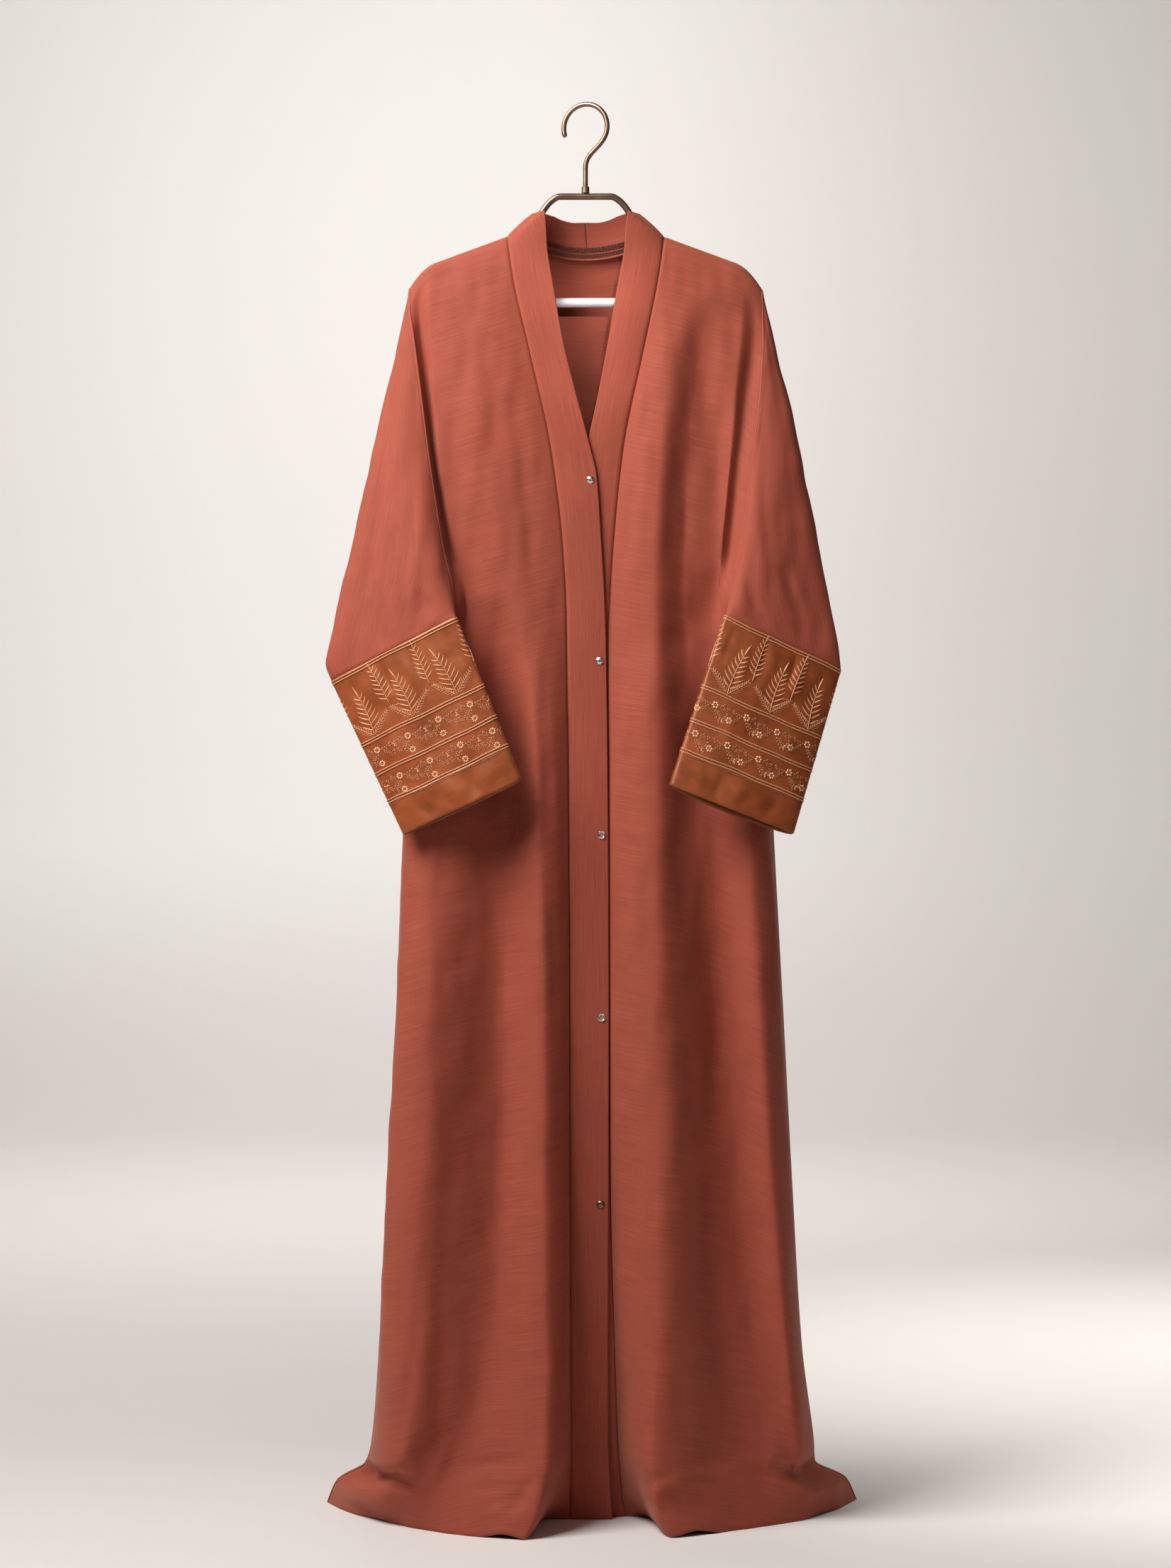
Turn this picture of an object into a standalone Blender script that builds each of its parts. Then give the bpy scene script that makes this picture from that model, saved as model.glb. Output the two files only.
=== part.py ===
"""An open-front abaya on a metal hanger, made of thin sewn walls.

Blender units are metres, +Z is up and the front of the garment faces -Y.
The origin is the seat inside the hanger's hook, so the garment hangs below it.
The tables are in millimetres. Right and left are the wearer's: right is at -X.
"""

import math

import bmesh
import bpy
import numpy as np
from mathutils import Vector

MM = 0.001
RIGHT = -1
LEFT = 1

# Wall thicknesses and gaps, in millimetres
CLOTH = 1.5
BAND = 2.5
CUFF = 1.8
CUFF_HEM = 2.0
SEAM_GAP = 0.3
UNDERARM_EASE = 1.2
UNDERARM_EASE_STEPS = 2.4

# Main levels below the hook's seat, in millimetres
SHOULDER = 158.0
UNDERARM = 610.0
HEM = 1715.0

# The shoulder line falls from the neck point and rounds off near the sleeve
NECK_POINT = 94.6
SHOULDER_SLOPE = 0.3675
SHOULDER_ROUND_FROM = 182.0
SHOULDER_ROUND = 0.0203
BACK_NECK_DROP = 24.0
BACK_NECK_DEPTH = 30.0

# Grid sizes: levels along the armhole and the skirt, steps across each stretch of a panel
ARMHOLE_STEPS = 12
SKIRT_STEPS = 16
STEPS_ACROSS = 2
NECK_STEPS = 5
SLEEVE_STEPS = 8
CUFF_STEPS = 4
CUFF_HEM_STEPS = 1
BAND_STEPS = 2
# How far the levels of the skirt crowd towards the hem, and ring points towards the folds
HEM_CROWDING = 0.28
FOLD_CROWDING = 0.4
# A cell splits outwards and down unless its other diagonal is shorter by this share
SPLIT_LEAN = 0.06

# One row for each section of a front panel. out is the distance from the centre line and
# fwd the distance towards the viewer, for each of seven lines that run down the panel.
# columns: down, tilt, then out and fwd of band, knee, crest, hollow, flank, edge, seam
FRONT_RIGHT = (
    (158, 1.00, 94.6, 0, 118, 0, 142, 0, 165, 0, 187, 0, 203, 0, 213, 0),
    (163, 1.00, 94, 5.5, 117, 5.5, 141, 5.5, 165, 5.5, 187, 5.5, 203, 5, 213.5, 4),
    (180, 1.00, 91.5, 11, 115, 11, 140, 11, 164, 10.5, 187, 9.5, 204, 8, 213.5, 8),
    (215, 0.95, 86, 17, 108, 18, 133, 19, 160, 18.5, 188, 17, 201, 8, 210, 15),
    (300, 0.70, 66.5, 26, 88, 29, 116, 31, 150, 29, 184, 25, 194, 13, 201.5, 27),
    (420, 0.40, 40.5, 33, 66, 38, 100, 41, 140, 38, 175, 34, 182, 22, 188, 41),
    (530, 0.15, 27, 38, 54, 44, 86, 48, 126, 43, 157, 40, 164.5, 29, 172, 52),
    (610, 0.00, 22.3, 42, 50, 50, 77, 54, 114, 46, 142, 36, 150, 49, 157, 57),
    (645, 0.00, 21.8, 43.5, 48, 53, 72, 57, 108, 46, 144, 41, 160, 44, 171, 33),
    (700, 0.00, 21.2, 45.5, 45, 57, 65, 62, 102, 46, 150, 58, 188, 50, 199, 10),
    (785, 0.00, 20, 47.5, 41, 63, 58, 69, 98, 46, 160, 65, 206, 52, 215, 2),
    (885, 0.00, 19.5, 49.5, 37, 66, 54, 74, 98, 47, 172, 73, 215, 56, 221, 0),
    (1100, 0.00, 18.5, 50, 33, 69, 50, 81, 99, 54, 184, 94, 226, 60, 229.5, 0),
    (1300, 0.00, 18.5, 42, 29, 68, 50, 87, 104, 60, 190, 98, 237, 62, 240, 0),
    (1500, 0.00, 18.5, 24, 25, 64, 48, 94, 122, 66, 200, 96, 246, 50, 250, -2),
    (1620, 0.00, 18, 9, 26, 60, 48, 101, 150, 68, 214, 86, 254, 26, 260, -18),
    (1655, 0.00, 18, 4, 30, 54, 53, 105, 158, 72, 230, 64, 265, 2, 270, -44),
    (1685, 0.00, 18, 0, 40, 46, 60, 108, 158, 76, 242, 36, 288, -28, 308, -84),
    (1715, 0.00, 18.4, -3, 50, -3, 73, 109, 158, 78, 246, 8, 292, -44, 321, -98),
)
FRONT_LEFT = (
    (158, 1.00, 94.6, 0, 118, 0, 142, 0, 166, 0, 188, 0, 204, 0, 214, 0),
    (163, 1.00, 94, 5.5, 117, 5.5, 142, 5.5, 166, 5.5, 188, 5.5, 204, 5, 214.5, 4),
    (180, 1.00, 92, 11, 116, 11, 142, 11, 166, 10.5, 188, 10, 206, 9, 215, 8),
    (215, 0.95, 86.5, 16.5, 106, 18, 128, 19.5, 156, 18, 188, 17, 205, 12, 215.5, 15),
    (300, 0.70, 69, 24, 84, 29, 104, 32, 138, 21, 182, 28, 197, 19, 212, 27),
    (420, 0.40, 44.7, 29, 64, 38, 90, 43, 124, 21, 172, 38, 184, 30, 200, 41),
    (530, 0.15, 33.5, 34, 56, 44, 84, 52, 119, 26, 163, 45, 174, 36, 187, 52),
    (610, 0.00, 28, 38, 54, 49, 82, 57, 120, 29, 157, 40, 165, 49, 172, 57),
    (645, 0.00, 25.8, 39.5, 53, 51, 82, 60, 122, 30, 162, 45, 174, 44, 186, 33),
    (700, 0.00, 25.2, 41.5, 52, 57, 83, 69, 128, 38, 174, 50, 202, 38, 212, 10),
    (785, 0.00, 25.6, 43.5, 52, 61, 84, 74, 136, 38.5, 184, 56, 212, 42, 223, 2),
    (885, 0.00, 26, 45.5, 51, 65, 85, 79, 146, 38.5, 192, 62, 220, 44, 228, 0),
    (1100, 0.00, 27, 46, 50, 67, 87, 84, 166, 37, 208, 68, 234, 42, 239.5, 0),
    (1300, 0.00, 29, 38, 51, 67, 88, 89, 182, 36, 222, 64, 246, 34, 250, 0),
    (1500, 0.00, 35, 19.5, 53, 64, 85, 93, 200, 34, 240, 56, 258, 22, 262, -4),
    (1620, 0.00, 39.5, 2, 56, 58, 82, 98, 214, 30, 254, 34, 273, -2, 278, -26),
    (1655, 0.00, 42, -5, 60, 49, 84, 99, 218, 30, 260, 16, 276, -26, 282, -54),
    (1685, 0.00, 44, -12, 68, 37, 88, 98, 216, 34, 268, 2, 302, -50, 324, -98),
    (1715, 0.00, 49, -18, 74, -18, 103, 98, 206, 42, 266, 0, 308, -54, 338, -114),
)
FRONTS = {RIGHT: FRONT_RIGHT, LEFT: FRONT_LEFT}

# columns: down, depth at the centre, how much the armhole seam lies further out than in
# front, depth of the armhole seam
BACK = (
    (158, 30, 0, 0),
    (163, 31, 0, 4),
    (180, 33, 0, 8),
    (215, 36, 0, 14),
    (300, 40, 1.5, 22),
    (420, 42, 6, 20),
    (530, 43, 13, -6),
    (578, 43.5, 12, -28),
    (610, 44, 0, -57),
    (785, 47, 0, 0),
    (885, 50, 0, 0),
    (1100, 58, 0, 0),
    (1300, 68, 0, 0),
    (1500, 82, 0, 0),
    (1620, 100, 0, 0),
    (1685, 122, 0, 0),
    (1715, 135, 0, 0),
)
BACK_SQUARENESS = 3.0
BACK_TOP_BLEND = (170.0, 300.0)

# Soft folds down the back. columns: out at the top, out at the hem, half width at the hem,
# depth at the hem, level where it starts
BACK_FOLD_NARROW = 0.6
BACK_FOLDS = (
    (-150, -215, 46, 20, 760),
    (-62, -104, 40, -22, 640),
    (-8, -18, 36, 18, 900),
    (70, 92, 44, -24, 700),
    (146, 205, 42, 22, 820),
)

# The inner edge of each band. columns: level of the seam, then out, fwd and down of the edge
BAND_EDGE_RIGHT = (
    (158, 65, 0, 131),
    (166, 50.5, 12, 128.5),
    (188, 46.5, 15, 176),
    (224, 40.5, 19, 214),
    (252, 36, 21, 241),
    (298, 27.4, 25, 289),
    (355, 13.6, 29, 346),
    (421, -2.6, 33, 407),
    (466, -12.8, 36, 452),
    (530, -17.8, 39, 521),
    (610, -22.5, 43, 606),
    (700, -24.7, 46, 699),
    (885, -26.5, 50.5, 885),
    (1100, -27.3, 51, 1100),
    (1300, -27, 43, 1300),
    (1500, -26.7, 25, 1500),
    (1620, -27, 10, 1620),
    (1715, -31.6, -2, 1715),
)
BAND_EDGE_LEFT = (
    (158, 65.5, 0, 131),
    (166, 53, 12, 129.5),
    (188, 47, 14.5, 179),
    (224, 40.5, 18, 215),
    (248, 36, 20, 240),
    (292, 28.8, 23, 283),
    (355, 17, 26, 346),
    (421, 2.6, 29, 412),
    (466, -9, 31, 455),
    (530, -13, 34, 521),
    (610, -16, 38, 606),
    (700, -19, 41.5, 699),
    (885, -20, 45.5, 885),
    (1100, -20, 46, 1100),
    (1300, -19, 38, 1300),
    (1500, -13, 19.5, 1500),
    (1620, -8, 1.5, 1620),
    (1715, 2, -17, 1715),
)
BAND_EDGES = {RIGHT: BAND_EDGE_RIGHT, LEFT: BAND_EDGE_LEFT}
# columns: share of the way from the shoulder to the centre back, then out, back and down
BACK_NECK_EDGE = (
    (0.0, 65, 0, 131),
    (0.2, 51, 12, 128.5),
    (0.4, 40, 18, 130.5),
    (0.6, 28, 22.5, 135),
    (0.8, 14, 25, 137.5),
    (1.0, 0, 26, 137),
)

# Corners of each cuff. columns: out, fwd, down
CUFFS = {
    RIGHT: {
        "top_inner": (154.2, 80, 623),
        "top_outer": (304, 50, 698.5),
        "bottom_inner": (76, 106, 817),
        "bottom_outer": (216, 85, 881.5),
    },
    LEFT: {
        "top_inner": (166.5, 80, 621),
        "top_outer": (305.7, 50, 685),
        "bottom_inner": (99.5, 106, 823),
        "bottom_outer": (246.5, 85, 880.5),
    },
}
CUFF_DEPTH_TOP = 8.0
CUFF_DEPTH_BOTTOM = 12.0
CUFF_ROUNDNESS = 0.85
CUFF_HEM_FROM = 0.797
CUFF_BACK_LONGER = {RIGHT: 3.0, LEFT: 6.0}
# How far the sleeve's outer fold stands out from the straight line, along its length
ELBOW = {
    RIGHT: ((0.0, 0.0), (0.1, 0.0), (0.5, 5.5), (0.95, 11.0), (1.0, 0.0)),
    LEFT: ((0.0, 0.0), (0.1, 0.5), (0.5, 4.5), (0.93, 2.0), (1.0, 0.0)),
}
SLEEVE_FULLNESS = 6.0

# Snaps on the top band. columns: x, down
SNAPS = ((6, 456), (17, 674), (19.3, 883), (19.3, 1101.6), (18.4, 1327))
SNAP_RADIUS = 5.0
SNAP_HEIGHT = 2.2
SNAP_SIDES = 14
SNAP_GAP = 0.6
# columns: share of the radius, share of the height
SNAP_DOME = ((0, 0), (1, 0), (1, 0.4), (0.7, 0.85), (0, 1))

# Hanger, in millimetres from the hook's seat
HOOK_WIRE = 3.0
HOOK_RADIUS = 28.0
HOOK_TURN = math.radians(20)
HOOK_FIRST = math.radians(-28)
HOOK_LAST = math.radians(196)
HOOK_ARC_STEPS = 20
STEM_TOP = -74.0
STEM_PULL = 17.0
STEM_STEPS = 8
BOSS_TOP = -97.0
BOSS_RADIUS = 4.75
BOSS_SIDES = 16
FRAME_TUBE = 4.0
FRAME_CROWN = -109.1
# columns: x, z of the frame's right half, from the crown to where it meets the bar
FRAME_CORNERS = (
    (0, -109.1),
    (31, -109.1),
    (41.5, -114.5),
    (70.5, -155),
    (80, -162.2),
    (182, -198.6),
    (190.5, -203.5),
    (196, -211),
    (197.5, -221),
    (195.5, -230),
    (192, -235.8),
    (188.5, -238),
    (186, -238),
)
BAR_LEVEL = -238.0
BAR_RADIUS = 5.75
BAR_HALF = 185.7


def monotone_curve(keys, values, at):
    """Smooth values through a table's rows that never overshoot them."""
    keys = np.asarray(keys, float)
    values = np.asarray(values, float)
    if values.ndim == 1:
        values = values[:, None]
    at = np.atleast_1d(np.asarray(at, float))
    step = np.diff(keys)[:, None]
    slope = np.diff(values, axis=0) / step
    tangent = np.zeros_like(values)
    tangent[0] = slope[0]
    tangent[-1] = slope[-1]
    before = slope[:-1]
    after = slope[1:]
    same = before * after > 0
    total = np.where(same, before + after, 1.0)
    tangent[1:-1] = np.where(same, 2 * before * after / total, 0.0)
    cell = np.clip(np.searchsorted(keys, at, side="right") - 1, 0, len(keys) - 2)
    span = step[cell]
    t = ((at - keys[cell])[:, None]) / span
    h00 = (1 + 2 * t) * (1 - t) ** 2
    h10 = t * (1 - t) ** 2
    h01 = t * t * (3 - 2 * t)
    h11 = t * t * (t - 1)
    low = h00 * values[cell] + h10 * span * tangent[cell]
    return low + h01 * values[cell + 1] + h11 * span * tangent[cell + 1]


def table_at(table, level):
    """The columns of a table after the first, at one level."""
    rows = np.asarray(table, float)
    return monotone_curve(rows[:, 0], rows[:, 1:], level)[0]


def smooth_step(value, low, high):
    share = min(max((value - low) / (high - low), 0.0), 1.0)
    return share * share * (3 - 2 * share)


def shoulder_drop(out):
    """How far the shoulder seam lies below the neck point."""
    out = abs(out)
    rounding = max(out - SHOULDER_ROUND_FROM, 0.0) ** 2 * SHOULDER_ROUND
    return max(out - NECK_POINT, 0.0) * SHOULDER_SLOPE + rounding


def neck_share(out):
    """1 at the centre back, 0 from the neck point outwards."""
    return max(1 - (abs(out) / NECK_POINT) ** 2, 0.0)


def levels():
    """Levels of the rings, close together at the shoulder."""
    angles = np.linspace(0, math.pi / 2, ARMHOLE_STEPS + 1)
    arm = SHOULDER + (UNDERARM - SHOULDER) * (1 - np.cos(angles))
    share = np.linspace(0, 1, SKIRT_STEPS + 1)[1:]
    spread = share * (1 - HEM_CROWDING) + HEM_CROWDING * np.sin(share * math.pi / 2)
    skirt = UNDERARM + (HEM - UNDERARM) * spread
    return np.concatenate([arm, skirt])


LEVELS = levels()


def spread_along(points, steps):
    """Sample a smooth curve through control points, with equal steps in each stretch."""
    points = np.asarray(points, float)
    lengths = np.linalg.norm(np.diff(points[:, :2], axis=0), axis=1)
    chord = np.concatenate([[0], np.cumsum(lengths)])
    at = [chord[0]]
    for index in range(len(points) - 1):
        for part in range(1, steps + 1):
            at.append(chord[index] + (chord[index + 1] - chord[index]) * part / steps)
    return monotone_curve(chord, points, at)


def front_section(side, level):
    """Points of a front panel at one level, from the band seam to the outer seam."""
    row = table_at(FRONTS[side], level)
    tilt = row[0]
    plan = spread_along(row[1:].reshape(-1, 2), STEPS_ACROSS)
    return [
        (side * out, -fwd, -(level + tilt * shoulder_drop(out))) for out, fwd in plan
    ]


def back_fold_depth(x, level):
    depth = 0.0
    for top_x, hem_x, half_width, hem_depth, start in BACK_FOLDS:
        share = smooth_step(level, start, HEM)
        middle = top_x + (hem_x - top_x) * (level - SHOULDER) / (HEM - SHOULDER)
        width = half_width * (BACK_FOLD_NARROW + (1 - BACK_FOLD_NARROW) * share)
        depth += hem_depth * share * math.exp(-(((x - middle) / width) ** 2))
    return depth


def back_half(side, level):
    """Points of half the back panel at one level, from the centre to the outer seam."""
    front = table_at(FRONTS[side], level)
    centre, extra, seam_back = table_at(BACK, level)
    seam_out = front[-2] + extra
    if level >= UNDERARM:
        seam_out = front[-2]
        seam_back = -front[-1]
    tilt = front[0]
    top = front_top_outs(side)
    neck = [NECK_POINT * part / NECK_STEPS for part in range(NECK_STEPS)]
    outs = neck + list(top)
    count = len(outs)
    blend = 1 - smooth_step(level, *BACK_TOP_BLEND)
    middle_fwd = front[8]
    rise = middle_fwd if level < BACK_TOP_BLEND[1] else 0.0
    points = []
    for index, out in enumerate(outs):
        angle = math.pi / 2 * index / (count - 1)
        wide = math.sin(angle) ** (2 / BACK_SQUARENESS)
        deep = math.cos(angle) ** (2 / BACK_SQUARENESS) if index < count - 1 else 0.0
        low_out = seam_out * wide
        low_back = seam_back + (centre - seam_back) * deep
        top_back = BACK_NECK_DEPTH * neck_share(out) + rise
        if index == count - 1:
            top_back = seam_back
        this_out = blend * (out if index < count - 1 else seam_out) + (1 - blend) * low_out
        this_back = blend * top_back + (1 - blend) * low_back
        drop = shoulder_drop(this_out) + BACK_NECK_DROP * neck_share(this_out)
        inside = 1 - (abs(this_out) / max(seam_out, 1.0)) ** 6
        fold = back_fold_depth(side * this_out, level) * max(inside, 0.0)
        points.append((side * this_out, this_back + fold, -(level + tilt * drop)))
    return points


def front_top_outs(side):
    plan = spread_along(np.asarray(FRONTS[side][0][2:], float).reshape(-1, 2), STEPS_ACROSS)
    return [out for out, _ in plan]


def back_section(level):
    right = back_half(RIGHT, level)
    left = back_half(LEFT, level)
    return right[::-1] + left[1:]


def front_grid(side):
    return np.array([front_section(side, level) for level in LEVELS])


def back_grid():
    return np.array([back_section(level) for level in LEVELS])


def ellipse_ring(inner, outer, depth, longer):
    """A flattened ring between two corners: front side first, from the outer corner."""
    inner = np.asarray(inner, float)
    outer = np.asarray(outer, float)
    front = []
    back = []
    for step in range(ARMHOLE_STEPS + 1):
        even = step / ARMHOLE_STEPS
        eased = (1 - math.cos(math.pi * even)) / 2
        share = (1 - FOLD_CROWDING) * even + FOLD_CROWDING * eased
        round_ends = math.sqrt(max(4 * share * (1 - share), 0.0))
        swell = depth * round_ends**CUFF_ROUNDNESS if 0 < step < ARMHOLE_STEPS else 0.0
        middle = outer + (inner - outer) * share
        front.append(middle + np.array([0, swell, 0]))
        back.append(middle + np.array([0, -swell, longer * round_ends]))
    return front + back[-2:0:-1]


def to_world(side, ring):
    return np.array([(side * out, -fwd, -down) for out, fwd, down in ring])


def cuff_ring(side, share):
    """The ring of a cuff, from its top seam (0) to its hem (1)."""
    corners = {name: np.asarray(value, float) for name, value in CUFFS[side].items()}
    inner = corners["top_inner"] * (1 - share) + corners["bottom_inner"] * share
    outer = corners["top_outer"] * (1 - share) + corners["bottom_outer"] * share
    depth = CUFF_DEPTH_TOP + (CUFF_DEPTH_BOTTOM - CUFF_DEPTH_TOP) * share
    longer = CUFF_BACK_LONGER[side] * share * share
    return to_world(side, ellipse_ring(inner, outer, depth, longer))


def armhole_ring(side, front, back):
    """The armhole, down the front seam from the shoulder and up the back seam."""
    down_front = front[: ARMHOLE_STEPS + 1, -1]
    edge = 0 if side == RIGHT else -1
    down_back = back[: ARMHOLE_STEPS + 1, edge]
    return np.concatenate([down_front, down_back[-2:0:-1]])


def sleeve_grid(side, front, back):
    start = armhole_ring(side, front, back)
    end = cuff_ring(side, 0.0)
    count = len(start)
    rows = []
    for step in range(SLEEVE_STEPS + 1):
        share = step / SLEEVE_STEPS
        stand = monotone_curve(*np.array(ELBOW[side]).T, share)[0][0]
        ring = start * (1 - share) + end * share
        for index in range(count):
            turn = 2 * math.pi * index / count
            fold = max(math.cos(turn), 0.0) ** 3
            puff = math.sin(turn) * SLEEVE_FULLNESS * math.sin(math.pi * share)
            ring[index] += np.array([side * stand * fold, -puff, 0.0])
        rows.append(ring)
    return np.array(rows)


def cuff_grid(side, first, last, steps):
    shares = np.linspace(first, last, steps + 1)
    return np.array([cuff_ring(side, share) for share in shares])


def band_grid(side, front, back):
    """One strip from the hem, over the shoulder, to the centre back."""
    rows = []
    for index in range(len(LEVELS) - 1, -1, -1):
        seam = front[index, 0]
        out, fwd, down = table_at(BAND_EDGES[side], LEVELS[index])
        edge = np.array([side * out, -fwd, -down])
        rows.append(strip_across(seam, edge))
    middle = back.shape[1] // 2
    for step in range(1, NECK_STEPS + 1):
        column = middle + side * (NECK_STEPS - step)
        seam = back[0, column]
        out, behind, down = table_at(BACK_NECK_EDGE, step / NECK_STEPS)
        rows.append(strip_across(seam, np.array([side * out, behind, -down])))
    return np.array(rows)


def strip_across(seam, edge):
    return [seam + (edge - seam) * part / BAND_STEPS for part in range(BAND_STEPS + 1)]


def grid_normals(grid, closed):
    """Unit normals at the points of a grid, before the sign is settled."""
    down = np.gradient(grid, axis=0)
    if closed:
        across = (np.roll(grid, -1, axis=1) - np.roll(grid, 1, axis=1)) / 2
    else:
        across = np.gradient(grid, axis=1)
    normals = np.cross(across, down)
    length = np.linalg.norm(normals, axis=2, keepdims=True)
    return normals / np.maximum(length, 1e-9)


def outward(normals, grid, closed, facing):
    """Turn the normals to the outside: away from a tube's middle, or along facing."""
    if closed:
        away = grid - grid.mean(axis=1, keepdims=True)
    else:
        away = np.broadcast_to(np.array([0.0, facing, 0.0]), grid.shape)
    return normals * (1 if np.sum(normals * away) > 0 else -1)


def share_seams(sheets):
    """Give points that pieces share the same normal, so that their edges stay parallel."""
    total = {}
    for sheet in sheets:
        for point, normal in zip(sheet["grid"].reshape(-1, 3), sheet["normals"].reshape(-1, 3)):
            key = tuple(np.round(point, 3))
            total[key] = total.get(key, 0) + normal
    for sheet in sheets:
        shape = sheet["grid"].shape
        mixed = [total[tuple(np.round(point, 3))] for point in sheet["grid"].reshape(-1, 3)]
        mixed = np.array(mixed)
        length = np.linalg.norm(mixed, axis=1, keepdims=True)
        sheet["normals"] = (mixed / np.maximum(length, 1e-9)).reshape(shape)


def draw_back(grid, normals, closed, edges, ease):
    """Move the sewn edges back along the cloth by half the seam gap, and by any ease."""
    result = grid.copy()
    half = SEAM_GAP / 2
    rows, columns = grid.shape[:2]
    for name in edges:
        if name in ("first_row", "last_row"):
            row, inner = (0, 1) if name == "first_row" else (rows - 1, rows - 2)
            along = np.gradient(grid[row], axis=0)
            if closed:
                along = np.roll(grid[row], -1, axis=0) - np.roll(grid[row], 1, axis=0)
            inward = np.cross(normals[row], along)
            towards = grid[inner] - grid[row]
            size = half + ease[:, None] if name == "first_row" and ease is not None else half
            result[row] += scaled(inward, towards, size)
        else:
            column, inner = (0, 1) if name == "first_column" else (columns - 1, columns - 2)
            along = np.gradient(grid[:, column], axis=0)
            inward = np.cross(normals[:, column], along)
            towards = grid[:, inner] - grid[:, column]
            result[:, column] += scaled(inward, towards, half)
    return result


def scaled(inward, towards, size):
    length = np.linalg.norm(inward, axis=1, keepdims=True)
    unit = inward / np.maximum(length, 1e-9)
    sign = np.sign(np.sum(unit * towards, axis=1, keepdims=True))
    return unit * sign * size


def wall_object(name, sheet, material):
    """A closed wall: the grid moved out and in along its normals, and a rim."""
    half = sheet["thickness"] / 2
    grid = draw_back(
        sheet["grid"], sheet["normals"], sheet["closed"], sheet["sewn"], sheet["ease"]
    )
    outer = (grid + sheet["normals"] * half) * MM
    inner = (grid - sheet["normals"] * half) * MM
    rows, columns = grid.shape[:2]
    mesh = bmesh.new()
    layers = []
    for layer in (outer, inner):
        layers.append([[mesh.verts.new(point) for point in row] for row in layer])
    last = columns if sheet["closed"] else columns - 1
    for row in range(rows - 1):
        for column in range(last):
            beside = (column + 1) % columns
            falls = fold_down_outwards(grid, row, column, beside)
            for layer in layers:
                a, b = layer[row][column], layer[row][beside]
                c, d = layer[row + 1][beside], layer[row + 1][column]
                if falls:
                    mesh.faces.new((a, b, c))
                    mesh.faces.new((a, c, d))
                else:
                    mesh.faces.new((a, b, d))
                    mesh.faces.new((b, c, d))
    add_rim(mesh, layers, rows, columns, sheet["closed"])
    bmesh.ops.recalc_face_normals(mesh, faces=mesh.faces)
    return finish_object(name, mesh, material)


def fold_down_outwards(grid, row, column, beside):
    """Which way a cell is split: along its short diagonal, or outwards and down."""
    falling = np.linalg.norm(grid[row, column] - grid[row + 1, beside])
    rising = np.linalg.norm(grid[row, beside] - grid[row + 1, column])
    outwards = abs(grid[row, column, 0]) <= abs(grid[row, beside, 0])
    return falling <= rising * (1 + SPLIT_LEAN if outwards else 1 - SPLIT_LEAN)


def add_rim(mesh, layers, rows, columns, closed):
    """Close the wall's edges, split along the short diagonal, as the next piece's are."""
    outer, inner = layers
    loops = []
    if closed:
        for row in (0, rows - 1):
            loops.append([(row, column) for column in range(columns)])
    else:
        edge = [(0, column) for column in range(columns - 1)]
        edge += [(row, columns - 1) for row in range(rows - 1)]
        edge += [(rows - 1, column) for column in range(columns - 1, 0, -1)]
        edge += [(row, 0) for row in range(rows - 1, 0, -1)]
        loops.append(edge)
    for loop in loops:
        for (row_a, col_a), (row_b, col_b) in zip(loop, loop[1:] + loop[:1]):
            a, b = outer[row_a][col_a], outer[row_b][col_b]
            c, d = inner[row_b][col_b], inner[row_a][col_a]
            if (a.co - c.co).length < (b.co - d.co).length:
                mesh.faces.new((a, b, c))
                mesh.faces.new((a, c, d))
            else:
                mesh.faces.new((a, b, d))
                mesh.faces.new((b, c, d))


def finish_object(name, mesh, material):
    data = bpy.data.meshes.new(name)
    mesh.to_mesh(data)
    mesh.free()
    data.shade_smooth()
    data.set_sharp_from_angle(angle=math.radians(50))
    thing = bpy.data.objects.new(name, data)
    thing.data.materials.append(material)
    bpy.context.scene.collection.objects.link(thing)
    return thing


def make_material(name, colour, roughness, metallic=0.0):
    material = bpy.data.materials.new(name)
    material.use_nodes = True
    shader = material.node_tree.nodes["Principled BSDF"]
    shader.inputs["Base Color"].default_value = (*colour, 1.0)
    shader.inputs["Roughness"].default_value = roughness
    shader.inputs["Metallic"].default_value = metallic
    return material


def tube_object(name, points, radius, material, sides=3):
    """A round bar along points, with flat ends."""
    curve = bpy.data.curves.new(name, "CURVE")
    curve.dimensions = "3D"
    curve.bevel_depth = radius * MM
    curve.bevel_resolution = sides
    curve.use_fill_caps = True
    spline = curve.splines.new("POLY")
    spline.points.add(len(points) - 1)
    for slot, point in zip(spline.points, points):
        slot.co = (*(Vector(point) * MM), 1.0)
    thing = bpy.data.objects.new(name, curve)
    curve.materials.append(material)
    bpy.context.scene.collection.objects.link(thing)
    return thing


def turned_object(name, profile, sides, material):
    """A solid of revolution about Z, from (radius, height) rows that start and end at 0."""
    mesh = bmesh.new()
    rings = []
    for radius, height in profile:
        if radius == 0:
            rings.append([mesh.verts.new((0, 0, height * MM))])
            continue
        ring = []
        for index in range(sides):
            angle = 2 * math.pi * index / sides
            place = (radius * math.cos(angle) * MM, radius * math.sin(angle) * MM, height * MM)
            ring.append(mesh.verts.new(place))
        rings.append(ring)
    for low, high in zip(rings, rings[1:]):
        for index in range(sides):
            beside = (index + 1) % sides
            if len(low) == 1:
                mesh.faces.new((low[0], high[index], high[beside]))
            elif len(high) == 1:
                mesh.faces.new((low[index], low[beside], high[0]))
            else:
                mesh.faces.new((low[index], low[beside], high[beside], high[index]))
    bmesh.ops.recalc_face_normals(mesh, faces=mesh.faces)
    return finish_object(name, mesh, material)


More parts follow.
